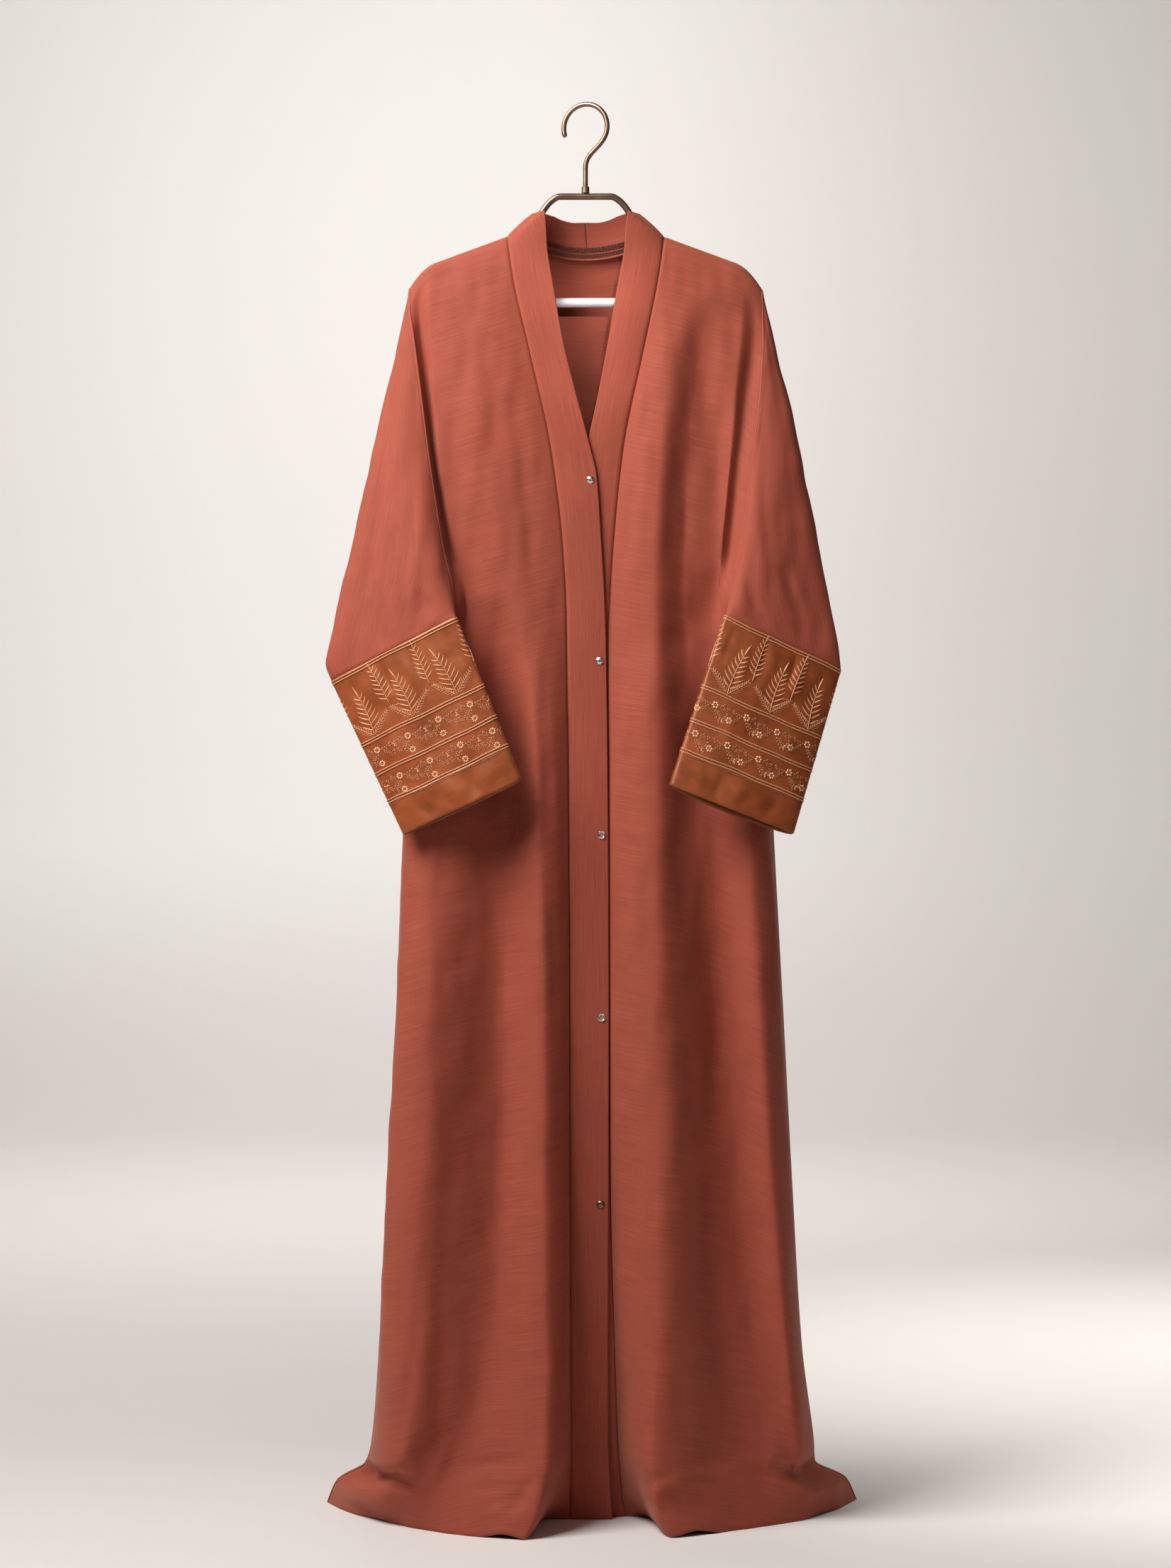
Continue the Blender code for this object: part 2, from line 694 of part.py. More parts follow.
def hook_arc_point(angle):
    """A point of the hook's arc, whose top inner face is the seat at the origin."""
    centre = HOOK_WIRE - HOOK_RADIUS
    return np.array([HOOK_RADIUS * math.cos(angle), centre + HOOK_RADIUS * math.sin(angle)])


def hook_points():
    """The hook's centre line: a stem, a bend and an arc round the seat."""
    start = hook_arc_point(HOOK_FIRST)
    heading = np.array([-math.sin(HOOK_FIRST), math.cos(HOOK_FIRST)])
    low = np.array([0.0, STEM_TOP])
    controls = (low, low + np.array([0, STEM_PULL]), start - heading * STEM_PULL, start)
    plan = [np.array([0.0, BOSS_TOP + SEAM_GAP])]
    for step in range(STEM_STEPS + 1):
        t = step / STEM_STEPS
        weights = ((1 - t) ** 3, 3 * t * (1 - t) ** 2, 3 * t * t * (1 - t), t**3)
        plan.append(sum(weight * control for weight, control in zip(weights, controls)))
    for step in range(1, HOOK_ARC_STEPS + 1):
        angle = HOOK_FIRST + (HOOK_LAST - HOOK_FIRST) * step / HOOK_ARC_STEPS
        plan.append(hook_arc_point(angle))
    turned = []
    for wide, high in plan:
        turned.append((wide * math.cos(HOOK_TURN), -wide * math.sin(HOOK_TURN), high))
    return turned


def frame_points():
    right = [(x, 0.0, z) for x, z in FRAME_CORNERS]
    left = [(-x, 0.0, z) for x, z in FRAME_CORNERS[:0:-1]]
    return left + right


def build_hanger():
    bronze = make_material("bronze", (0.33, 0.20, 0.12), 0.32, 1.0)
    tube_object("hanger_hook", hook_points(), HOOK_WIRE, bronze)
    boss_base = FRAME_CROWN + FRAME_TUBE + SEAM_GAP
    boss_profile = (
        (0, boss_base),
        (BOSS_RADIUS, boss_base),
        (BOSS_RADIUS, BOSS_TOP),
        (0, BOSS_TOP),
    )
    boss_metal = make_material("boss_metal", (0.33, 0.20, 0.12), 0.35, 1.0)
    turned_object("hanger_boss", boss_profile, BOSS_SIDES, boss_metal)
    frame_metal = make_material("frame_metal", (0.27, 0.17, 0.10), 0.35, 1.0)
    tube_object("hanger_frame", frame_points(), FRAME_TUBE, frame_metal)
    white = make_material("bar_white", (0.85, 0.83, 0.82), 0.5)
    ends = [(-BAR_HALF, 0, BAR_LEVEL), (0, 0, BAR_LEVEL), (BAR_HALF, 0, BAR_LEVEL)]
    tube_object("hanger_bar", ends, BAR_RADIUS, white)


def band_depth(side, front, x, down):
    """The y of a band's middle at a place on it."""
    seam = np.array([front[index, 0] for index in range(len(LEVELS))])
    edge_rows = [table_at(BAND_EDGES[side], level) for level in LEVELS]
    edge = np.array([(side * out, -fwd, -low) for out, fwd, low in edge_rows])
    seam_x = np.interp(down, LEVELS, seam[:, 0])
    seam_y = np.interp(down, LEVELS, seam[:, 1])
    edge_x = np.interp(down, -edge[:, 2], edge[:, 0])
    edge_y = np.interp(down, -edge[:, 2], edge[:, 1])
    share = (x - seam_x) / (edge_x - seam_x)
    return seam_y + (edge_y - seam_y) * share


def build_snaps(front):
    steel = make_material("snap_steel", (0.75, 0.75, 0.76), 0.2, 1.0)
    profile = [(radius * SNAP_RADIUS, height * SNAP_HEIGHT) for radius, height in SNAP_DOME]
    for number, (x, down) in enumerate(SNAPS, start=1):
        snap = turned_object(f"snap_{number}", profile, SNAP_SIDES, steel.copy())
        depth = band_depth(RIGHT, front, x, down) - BAND / 2 - SNAP_GAP
        snap.location = (x * MM, depth * MM, -down * MM)
        snap.rotation_euler = (math.pi / 2, 0, 0)


def sheet(name, grid, thickness, sewn, closed=False, facing=-1, ease=None):
    normals = outward(grid_normals(grid, closed), grid, closed, facing)
    return {
        "name": name,
        "grid": grid,
        "closed": closed,
        "normals": normals,
        "thickness": thickness,
        "sewn": sewn,
        "ease": ease,
    }


def underarm_ease(count):
    """Extra room at the armhole's sharp lower corner, in millimetres round the ring."""
    steps = np.abs(np.arange(count) - ARMHOLE_STEPS)
    return UNDERARM_EASE * np.exp(-((steps / UNDERARM_EASE_STEPS) ** 2))


def build_garment():
    back = back_grid()
    round_three = ("first_row", "first_column", "last_column")
    both = ("first_row", "last_row")
    sheets = [sheet("back", back, CLOTH, round_three, facing=1)]
    fronts = {}
    for side, word in ((RIGHT, "right"), (LEFT, "left")):
        front = front_grid(side)
        fronts[side] = front
        sheets.append(sheet(f"front_{word}", front, CLOTH, round_three))
        tube = sleeve_grid(side, front, back)
        ease = underarm_ease(tube.shape[1])
        sheets.append(sheet(f"sleeve_{word}", tube, CLOTH, both, closed=True, ease=ease))
        cuff = cuff_grid(side, 0.0, CUFF_HEM_FROM, CUFF_STEPS)
        sheets.append(sheet(f"cuff_{word}", cuff, CUFF, both, closed=True))
        hem = cuff_grid(side, CUFF_HEM_FROM, 1.0, CUFF_HEM_STEPS)
        sheets.append(sheet(f"cuff_hem_{word}", hem, CUFF_HEM, ("first_row",), closed=True))
        band = band_grid(side, front, back)
        sheets.append(sheet(f"band_{word}", band, BAND, ("first_column", "last_row")))
    share_seams(sheets)
    colours = {"cuff": (0.40, 0.09, 0.03), "band": (0.42, 0.10, 0.055)}
    for each in sheets:
        colour = colours.get(each["name"].split("_")[0], (0.45, 0.11, 0.06))
        wall_object(each["name"], each, make_material(each["name"], colour, 0.75))
    build_snaps(fronts[RIGHT])


def main():
    for thing in list(bpy.data.objects):
        bpy.data.objects.remove(thing, do_unlink=True)
    build_garment()
    build_hanger()


main()
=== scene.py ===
"""The looks of an open-front abaya on a metal hanger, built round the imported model.

The garment's surfaces are worked out from the same tables as its solids, in millimetres:
out is the distance from the centre line, fwd the distance towards the viewer and down the
distance below the hook's seat. Right and left are the wearer's: right is at -X.
"""

import math

import bmesh
import bpy
import numpy as np
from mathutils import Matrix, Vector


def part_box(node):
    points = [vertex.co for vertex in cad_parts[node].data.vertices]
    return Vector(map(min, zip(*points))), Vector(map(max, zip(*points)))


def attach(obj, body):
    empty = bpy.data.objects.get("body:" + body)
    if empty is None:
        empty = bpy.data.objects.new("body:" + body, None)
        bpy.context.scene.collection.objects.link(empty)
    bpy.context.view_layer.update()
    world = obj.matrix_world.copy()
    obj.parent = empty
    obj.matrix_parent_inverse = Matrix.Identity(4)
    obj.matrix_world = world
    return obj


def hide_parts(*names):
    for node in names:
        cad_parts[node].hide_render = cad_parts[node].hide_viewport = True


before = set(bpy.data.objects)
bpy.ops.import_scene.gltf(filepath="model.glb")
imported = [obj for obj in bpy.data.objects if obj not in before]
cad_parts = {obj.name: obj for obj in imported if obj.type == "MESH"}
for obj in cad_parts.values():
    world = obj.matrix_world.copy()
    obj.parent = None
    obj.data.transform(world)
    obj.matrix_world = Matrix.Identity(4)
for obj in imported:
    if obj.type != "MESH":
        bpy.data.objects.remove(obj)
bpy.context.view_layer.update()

MM = 0.001
RIGHT = -1
LEFT = 1
WORDS = {RIGHT: "right", LEFT: "left"}

# Walls of the shells, in millimetres
CLOTH = 1.2
BAND = 2.2
CUFF = 1.5
CUFF_HEM = 1.8
RIM_ROUND = 0.8

# Main levels below the hook's seat
SHOULDER = 158.0
UNDERARM = 610.0
HEM = 1715.0
NECK_POINT = 94.6
SHOULDER_SLOPE = 0.3675
SHOULDER_ROUND_FROM = 182.0
SHOULDER_ROUND = 0.0203
BACK_NECK_DROP = 24.0
BACK_NECK_DEPTH = 30.0

# Grid sizes of the shells
ARMHOLE_STEPS = 90
SKIRT_STEPS = 210
FRONT_STEPS_ACROSS = 16
BACK_STEPS_ACROSS = 6
BACK_NECK_STEPS = 15
SLEEVE_RING = 60
SLEEVE_STEPS = 90
CUFF_RING = 84
CUFF_STEPS = 56
CUFF_HEM_STEPS = 16
NECK_BAND_STEPS = 40

# One row for each section of a front panel.
# columns: down, tilt, then out and fwd of band, knee, crest, hollow, flank, edge, seam
FRONT_RIGHT = (
    (158, 1.00, 94.6, 0, 118, 0, 142, 0, 165, 0, 187, 0, 203, 0, 213, 0),
    (163, 1.00, 94, 5.5, 117, 5.5, 141, 5.5, 165, 5.5, 187, 5.5, 203, 5, 213.5, 4),
    (180, 1.00, 91.5, 11, 115, 11, 140, 11, 164, 10.5, 187, 9.5, 204, 8, 213.5, 8),
    (215, 0.95, 86, 17, 108, 18, 133, 19, 160, 18.5, 188, 17, 201, 8, 210, 15),
    (300, 0.70, 66.5, 26, 88, 29, 116, 31, 150, 29, 184, 25, 194, 13, 201.5, 27),
    (420, 0.40, 40.5, 33, 66, 38, 100, 41, 140, 38, 175, 34, 182, 22, 188, 41),
    (530, 0.15, 27, 38, 54, 44, 86, 48, 126, 43, 157, 40, 164.5, 29, 172, 52),
    (610, 0.00, 22.3, 42, 50, 50, 77, 54, 114, 46, 142, 36, 150, 49, 157, 57),
    (645, 0.00, 21.8, 43.5, 48, 53, 72, 57, 108, 46, 144, 41, 160, 44, 171, 33),
    (700, 0.00, 21.2, 45.5, 45, 57, 65, 62, 102, 46, 150, 58, 188, 50, 199, 10),
    (785, 0.00, 20, 47.5, 41, 63, 58, 69, 98, 46, 160, 65, 206, 52, 215, 2),
    (885, 0.00, 19.5, 49.5, 37, 66, 54, 74, 98, 47, 172, 73, 215, 56, 221, 0),
    (1100, 0.00, 18.5, 50, 33, 69, 50, 81, 99, 54, 184, 94, 226, 60, 229.5, 0),
    (1300, 0.00, 18.5, 42, 29, 68, 50, 87, 104, 60, 190, 98, 237, 62, 240, 0),
    (1500, 0.00, 18.5, 24, 25, 64, 48, 94, 122, 66, 200, 96, 246, 50, 250, -2),
    (1620, 0.00, 18, 9, 26, 60, 48, 101, 150, 68, 214, 86, 254, 26, 260, -18),
    (1655, 0.00, 18, 4, 30, 54, 53, 105, 158, 72, 230, 64, 265, 2, 270, -44),
    (1685, 0.00, 18, 0, 40, 46, 60, 108, 158, 76, 242, 36, 288, -28, 308, -84),
    (1715, 0.00, 18.4, -3, 50, -3, 73, 109, 158, 78, 246, 8, 292, -44, 321, -98),
)
FRONT_LEFT = (
    (158, 1.00, 94.6, 0, 118, 0, 142, 0, 166, 0, 188, 0, 204, 0, 214, 0),
    (163, 1.00, 94, 5.5, 117, 5.5, 142, 5.5, 166, 5.5, 188, 5.5, 204, 5, 214.5, 4),
    (180, 1.00, 92, 11, 116, 11, 142, 11, 166, 10.5, 188, 10, 206, 9, 215, 8),
    (215, 0.95, 86.5, 16.5, 106, 18, 128, 19.5, 156, 18, 188, 17, 205, 12, 215.5, 15),
    (300, 0.70, 69, 24, 84, 29, 104, 32, 138, 21, 182, 28, 197, 19, 212, 27),
    (420, 0.40, 44.7, 29, 64, 38, 90, 43, 124, 21, 172, 38, 184, 30, 200, 41),
    (530, 0.15, 33.5, 34, 56, 44, 84, 52, 119, 26, 163, 45, 174, 36, 187, 52),
    (610, 0.00, 28, 38, 54, 49, 82, 57, 120, 29, 157, 40, 165, 49, 172, 57),
    (645, 0.00, 25.8, 39.5, 53, 51, 82, 60, 122, 30, 162, 45, 174, 44, 186, 33),
    (700, 0.00, 25.2, 41.5, 52, 57, 83, 69, 128, 38, 174, 50, 202, 38, 212, 10),
    (785, 0.00, 25.6, 43.5, 52, 61, 84, 74, 136, 38.5, 184, 56, 212, 42, 223, 2),
    (885, 0.00, 26, 45.5, 51, 65, 85, 79, 146, 38.5, 192, 62, 220, 44, 228, 0),
    (1100, 0.00, 27, 46, 50, 67, 87, 84, 166, 37, 208, 68, 234, 42, 239.5, 0),
    (1300, 0.00, 29, 38, 51, 67, 88, 89, 182, 36, 222, 64, 246, 34, 250, 0),
    (1500, 0.00, 35, 19.5, 53, 64, 85, 93, 200, 34, 240, 56, 258, 22, 262, -4),
    (1620, 0.00, 39.5, 2, 56, 58, 82, 98, 214, 30, 254, 34, 273, -2, 278, -26),
    (1655, 0.00, 42, -5, 60, 49, 84, 99, 218, 30, 260, 16, 276, -26, 282, -54),
    (1685, 0.00, 44, -12, 68, 37, 88, 98, 216, 34, 268, 2, 302, -50, 324, -98),
    (1715, 0.00, 49, -18, 74, -18, 103, 98, 206, 42, 266, 0, 308, -54, 338, -114),
)
FRONTS = {RIGHT: FRONT_RIGHT, LEFT: FRONT_LEFT}
# Place of the hollow's fwd in a row of those tables, after the level
HOLLOW_FWD = 8

# columns: down, depth at the centre, how much the armhole seam lies further out than in
# front, depth of the armhole seam
BACK = (
    (158, 30, 0, 0),
    (163, 31, 0, 4),
    (180, 33, 0, 8),
    (215, 36, 0, 14),
    (300, 40, 1.5, 22),
    (420, 42, 6, 20),
    (530, 43, 13, -6),
    (578, 43.5, 12, -28),
    (610, 44, 0, -57),
    (785, 47, 0, 0),
    (885, 50, 0, 0),
    (1100, 58, 0, 0),
    (1300, 68, 0, 0),
    (1500, 82, 0, 0),
    (1620, 100, 0, 0),
    (1685, 122, 0, 0),
    (1715, 135, 0, 0),
)
BACK_SQUARENESS = 3.0
BACK_SEAM_FADE = 6
BACK_TOP_BLEND = (170.0, 300.0)
# columns: out at the top, out at the hem, half width at the hem, depth at the hem, start
BACK_FOLD_NARROW = 0.6
BACK_FOLDS = (
    (-150, -215, 46, 20, 760),
    (-62, -104, 40, -22, 640),
    (-8, -18, 36, 18, 900),
    (70, 92, 44, -24, 700),
    (146, 205, 42, 22, 820),
)

# columns: level of the seam, then out, fwd and down of the band's inner edge
BAND_EDGE_RIGHT = (
    (158, 65, 0, 131),
    (166, 50.5, 12, 128.5),
    (188, 46.5, 15, 176),
    (224, 40.5, 19, 214),
    (252, 36, 21, 241),
    (298, 27.4, 25, 289),
    (355, 13.6, 29, 346),
    (421, -2.6, 33, 407),
    (466, -12.8, 36, 452),
    (530, -17.8, 39, 521),
    (610, -22.5, 43, 606),
    (700, -24.7, 46, 699),
    (885, -26.5, 50.5, 885),
    (1100, -27.3, 51, 1100),
    (1300, -27, 43, 1300),
    (1500, -26.7, 25, 1500),
    (1620, -27, 10, 1620),
    (1715, -31.6, -2, 1715),
)
BAND_EDGE_LEFT = (
    (158, 65.5, 0, 131),
    (166, 53, 12, 129.5),
    (188, 47, 14.5, 179),
    (224, 40.5, 18, 215),
    (248, 36, 20, 240),
    (292, 28.8, 23, 283),
    (355, 17, 26, 346),
    (421, 2.6, 29, 412),
    (466, -9, 31, 455),
    (530, -13, 34, 521),
    (610, -16, 38, 606),
    (700, -19, 41.5, 699),
    (885, -20, 45.5, 885),
    (1100, -20, 46, 1100),
    (1300, -19, 38, 1300),
    (1500, -13, 19.5, 1500),
    (1620, -8, 1.5, 1620),
    (1715, 2, -17, 1715),
)
BAND_EDGES = {RIGHT: BAND_EDGE_RIGHT, LEFT: BAND_EDGE_LEFT}
# columns: share of the way from the shoulder to the centre back, then out, back and down
BACK_NECK_EDGE = (
    (0.0, 65, 0, 131),
    (0.2, 51, 12, 128.5),
    (0.4, 40, 18, 130.5),
    (0.6, 28, 22.5, 135),
    (0.8, 14, 25, 137.5),
    (1.0, 0, 26, 137),
)
# Where the points of a band lie across it, from its seam to its folded edge
BAND_ACROSS = (0, 0.02, 0.05, 0.1, 0.18, 0.28, 0.4, 0.52, 0.64, 0.76, 0.86, 0.93, 0.97, 0.99, 1)

# Corners of each cuff. columns: out, fwd, down
CUFFS = {
    RIGHT: {
        "top_inner": (154.2, 80, 623),
        "top_outer": (304, 50, 698.5),
        "bottom_inner": (76, 106, 817),
        "bottom_outer": (216, 85, 881.5),
    },
    LEFT: {
        "top_inner": (166.5, 80, 621),
        "top_outer": (305.7, 50, 685),
        "bottom_inner": (99.5, 106, 823),
        "bottom_outer": (246.5, 85, 880.5),
    },
}
CUFF_DEPTH_TOP = 8.0
CUFF_DEPTH_BOTTOM = 12.0
CUFF_ROUNDNESS = 0.85
CUFF_HEM_FROM = 0.797
CUFF_BACK_LONGER = {RIGHT: 3.0, LEFT: 6.0}
FOLD_CROWDING = 0.4
# How far each sleeve stands out at its fold. columns: share of its length, distance
ELBOW = {
    RIGHT: ((0.0, 0.0), (0.1, 0.0), (0.5, 5.5), (0.95, 11.0), (1.0, 0.0)),
    LEFT: ((0.0, 0.0), (0.1, 0.5), (0.5, 4.5), (0.93, 2.0), (1.0, 0.0)),
}
SLEEVE_FULLNESS = 6.0
ELBOW_SPREAD = 3

# Creases, given one by one. columns: x and down of one end, x and down of the other, bow
# sideways at the middle, half width, depth (a ridge is positive, a trough negative)
CREASES_FRONT_RIGHT = (
    (-178, 300, -150, 600, 6, 12, -2.5),
    (-132, 260, -118, 640, -4, 16, 2.4),
    (-86, 330, -64, 700, 5, 10, -1.6),
    (-110, 420, -92, 640, -3, 13, 1.8),
    (-110, 600, -92, 930, 4, 24, -15.0),
    (-148, 610, -128, 900, 4, 16, 4.0),
    (-52, 640, -46, 980, 2, 8, -1.3),
    (-128, 760, -112, 1040, 5, 14, -2.2),
    (-84, 880, -78, 1260, -3, 12, 1.6),
    (-176, 900, -168, 1180, 4, 13, -2.4),
    (-205, 980, -215, 1400, 3, 10, 1.8),
    (-112, 1120, -100, 1500, 4, 11, -1.8),
    (-150, 1180, -176, 1640, -6, 14, -3.6),
    (-62, 1240, -52, 1600, 3, 9, -1.5),
    (-92, 1380, -104, 1680, 4, 10, 1.7),
    (-190, 1360, -236, 1660, 8, 10, -3.2),
    (-300, 1676, -214, 1648, 8, 9, -9.0),
    (-318, 1668, -262, 1662, -6, 7, 4.5),
    (-98, 1672, -58, 1640, -5, 7, -3.6),
    (-96, 1684, -66, 1660, -4, 6, -2.4),
    (-150, 1600, -190, 1690, 4, 8, -1.8),
    (-306, 1674, -196, 1656, 6, 11, -12.0),
    (-200, 1652, -166, 1588, 6, 13, -6.0),
    (-306, 1692, -214, 1690, 0, 9, 4.0),
    (-150, 1640, -72, 1626, 3, 5, -2.2),
    (-142, 1660, -60, 1648, -3, 5, -2.8),
    (-124, 1680, -66, 1664, 2, 5, -2.4),
    (-96, 1690, -70, 1668, 3, 6, -3.0),
)
CREASES_FRONT_LEFT = (
    (182, 300, 152, 560, -6, 12, -2.4),
    (120, 250, 113, 830, 0, 34, 8.0),
    (154, 320, 158, 790, 0, 18, -6.5),
    (138, 340, 128, 700, -3, 13, 2.0),
    (76, 380, 60, 640, -3, 10, 1.7),
    (88, 600, 76, 900, 4, 11, -1.7),
    (128, 740, 118, 1000, -5, 14, -2.2),
    (60, 820, 58, 1160, 2, 9, 1.4),
    (158, 940, 148, 1320, 4, 13, -3.0),
    (210, 960, 226, 1380, -4, 11, 2.0),
    (98, 1080, 104, 1460, 3, 12, 1.9),
    (80, 1180, 76, 1620, 2, 8, -1.8),
    (150, 1280, 182, 1620, -6, 13, -3.4),
    (200, 1420, 262, 1680, -8, 10, -3.4),
    (124, 1400, 140, 1680, -4, 11, 1.8),
    (318, 1676, 240, 1650, -8, 9, -7.0),
    (332, 1668, 280, 1660, 6, 7, 4.0),
    (70, 1660, 104, 1640, 5, 7, -3.2),
    (222, 1640, 318, 1674, -6, 11, -12.0),
    (236, 1674, 322, 1694, 0, 9, 4.0),
    (84, 1660, 132, 1692, 4, 8, -4.0),
    (112, 1650, 176, 1664, 3, 5, -2.2),
    (176, 1640, 236, 1658, -3, 5, -2.4),
    (70, 1676, 104, 1690, 2, 6, -2.6),
)
CREASES_BACK = (
    (-120, 220, -134, 560, 5, 16, 2.6),
    (-60, 260, -52, 700, -4, 15, -2.2),
    (44, 240, 58, 640, 4, 15, 2.2),
    (112, 230, 138, 600, -6, 17, -2.8),
    (-150, 640, -162, 1050, 5, 16, -3.4),
    (-88, 720, -100, 1200, -4, 14, 2.6),
    (-20, 780, -14, 1240, 3, 15, -2.4),
    (58, 700, 66, 1180, -3, 14, 2.2),
    (130, 760, 146, 1260, 5, 15, -3.0),
    (-180, 1180, -206, 1660, 6, 14, -4.2),
    (-60, 1260, -72, 1690, -4, 12, 3.0),
    (26, 1320, 30, 1700, 3, 13, -3.0),
    (110, 1300, 128, 1690, -4, 12, 3.2),
    (186, 1220, 214, 1670, 5, 14, -3.8),
)
CREASES_SLEEVE_RIGHT = (
    (-226, 236, -262, 560, -4, 12, 2.2),
    (-206, 330, -214, 600, 4, 9, -1.7),
    (-236, 380, -272, 640, 3, 9, -1.8),
    (-196, 480, -206, 640, -3, 8, 1.5),
    (-204, 590, -180, 630, 3, 8, -2.2),
    (-262, 600, -236, 660, -3, 9, -2.4),
)
CREASES_SLEEVE_LEFT = (
    (228, 240, 258, 560, 4, 12, 2.2),
    (216, 320, 218, 600, -4, 9, -1.7),
    (240, 390, 270, 640, -3, 9, -1.8),
    (204, 470, 212, 630, 3, 8, 1.5),
    (232, 560, 262, 650, 4, 8, -2.6),
    (190, 560, 206, 620, -3, 7, -1.8),
)
CREASES = {
    "front_right": CREASES_FRONT_RIGHT,
    "front_left": CREASES_FRONT_LEFT,
    "back": CREASES_BACK,
    "sleeve_right": CREASES_SLEEVE_RIGHT,
    "sleeve_left": CREASES_SLEEVE_LEFT,
}
CREASE_FADE = 0.8
# Where the hem lifts off the floor. columns: x, half width, height
HEM_ARCHES = {
    "front_right": ((-97, 20, 6.0), (-250, 14, 2.0)),
    "front_left": ((131, 22, 6.5), (288, 16, 2.5)),
    "back": ((-60, 26, 3.0), (40, 30, 3.5), (190, 24, 2.5)),
}
ARCH_RISE = 30

# Waves of the cloth's own unevenness. columns: length along x, length down, turn, height
RIPPLES = (
    (61, 210, 0.4, 0.55),
    (37, 340, 2.1, 0.40),
    (23, 150, 1.3, 0.22),
    (90, 95, 3.7, 0.45),
    (47, 64, 5.2, 0.22),
    (170, 38, 0.9, 0.16),
)
# How far the waves turn from one row and seed to the next, and how far and long they wander
RIPPLE_TURN = 1.7
RIPPLE_WANDER = 0.9
RIPPLE_WANDER_LENGTH = 1.9

# How the relief of each panel ends. columns: calm strip along its first edge, its last edge
# and its top, seed of its ripples, depth of the dip at its seams
PANEL_EDGES = {
    "front_right": (16, 14, 30, 1, 1.9),
    "front_left": (16, 14, 30, 3, 1.9),
    "back": (30, 30, 40, 5, 0.0),
}
SEAM_REACH = 1.7
# The fronts' grain sags towards the side seams, from this far out and between these levels
GRAIN_SAG = 0.22
GRAIN_SAG_FROM = 110
GRAIN_SAG_LEVELS = (560, 900)
# The stretch of a front whose hollow is eased, in columns of its grid, and how often
EASED_COLUMNS = (32, 42, 60, 70)
EASING_PASSES = 34
# Levels between which the easing sets in and dies out
EASED_TOP = (330, 430)
EASED_FOOT = (900, 1050)

# Seeds of the ripples of the sleeves, and how their relief ends at the armhole and the cuff
SLEEVE_SEEDS = {RIGHT: 6, LEFT: 8}
# columns of an end: calm strip, depth and reach of the dip at its seam
SLEEVE_TOP = (30, 0.9, 2.2)
SLEEVE_END = (14, 0.5, 2.0)
# Lines along the front of each armhole, by name; the dark line in the groove is painted shade.
# columns: share of the first stretch of the sleeve, lift off the cloth, radius, material
ARMHOLE_LINES = {
    "armhole_roll": (0.0, 0.9, 1.5, "seam_roll"),
    # A dark thread line in the groove that stands in for its shadow: painted shade
    "armhole_groove_painted_shade": (0.42, 0.35, 0.6, "overlock"),
    "armhole_edge": (0.85, 0.5, 0.8, "seam_roll"),
}

# How round a band is across its width, and the dip along its seam
BAND_SWELL = 0.9
BAND_DIP = 1.5
BAND_DIP_REACH = 1.3
# columns: height, first and second length of the band's waves
BAND_WAVES = (0.35, 33.0, 71.0)
BAND_TURN = 1.3

# Puckers of the satin, in the cuff's own sizes. columns: distance round the cuff and along
# it of each end, half width, depth
PUCKERS = (
    (22, 12, 30, 70, 6, -1.5),
    (52, 8, 58, 60, 7, 1.6),
    (64, 4, 60, 52, 4, -1.9),
    (88, 10, 96, 82, 7, 1.3),
    (104, 3, 100, 44, 4, -1.6),
    (126, 14, 120, 78, 6, 1.2),
    (148, 6, 150, 60, 5, -1.3),
    (36, 96, 44, 128, 7, 0.9),
    (84, 92, 92, 132, 6, -0.9),
    (120, 96, 112, 160, 8, 0.9),
    (30, 172, 46, 206, 8, -1.2),
    (74, 168, 90, 208, 9, 1.5),
    (104, 170, 110, 207, 7, -1.3),
    (136, 172, 128, 206, 8, 1.1),
    (190, 8, 196, 80, 7, -1.3),
    (226, 10, 220, 74, 6, 1.4),
    (262, 6, 268, 90, 8, -1.2),
    (290, 100, 284, 160, 8, 1.0),
    (210, 170, 218, 206, 8, 1.2),
    (262, 172, 256, 206, 8, -1.2),
)
CUFF_ROUND = 330.0
CUFF_LENGTH = 209.0
CUFF_FOLD_CALM = 12

# Lines of cord round each cuff: distance from its top seam
CORD_LINES = (1.5, 87.0, 127.5, 164.0)
CORD_APART = 3.4
CORD_RADIUS = 0.75
CORD_STITCH = 2.6
LEAF_BASE = 85.0
FLOWER_ROWS = (96.0, 135.5)
MOTIF_PITCH = CUFF_ROUND / 6
CORD_LIFT = 0.45
# Least radius of a cord's beads and how far they swell, as shares of its radius
CORD_BEADS = (0.78, 0.30)
# The stitch between two cords: where it starts, then its angle, length, width and bend
GAP_STITCH_START = (-0.6, -0.8)
GAP_STITCH = (0.95, 1.9, 0.8, 0.0)
STITCH_STEPS = 3
# How a sewn line wanders. columns: waves round the cuff, how far, share of the seed
LINE_WANDER = ((2, 0.5, 1), (5, 0.35, 2))
# How full a satin-stitch leaf is along its length, and how deep its edge lies
PAD_START = 0.08
PAD_SPAN = 0.86
PAD_POWER = 0.8
PAD_SINK = 0.12
UP = -math.pi / 2

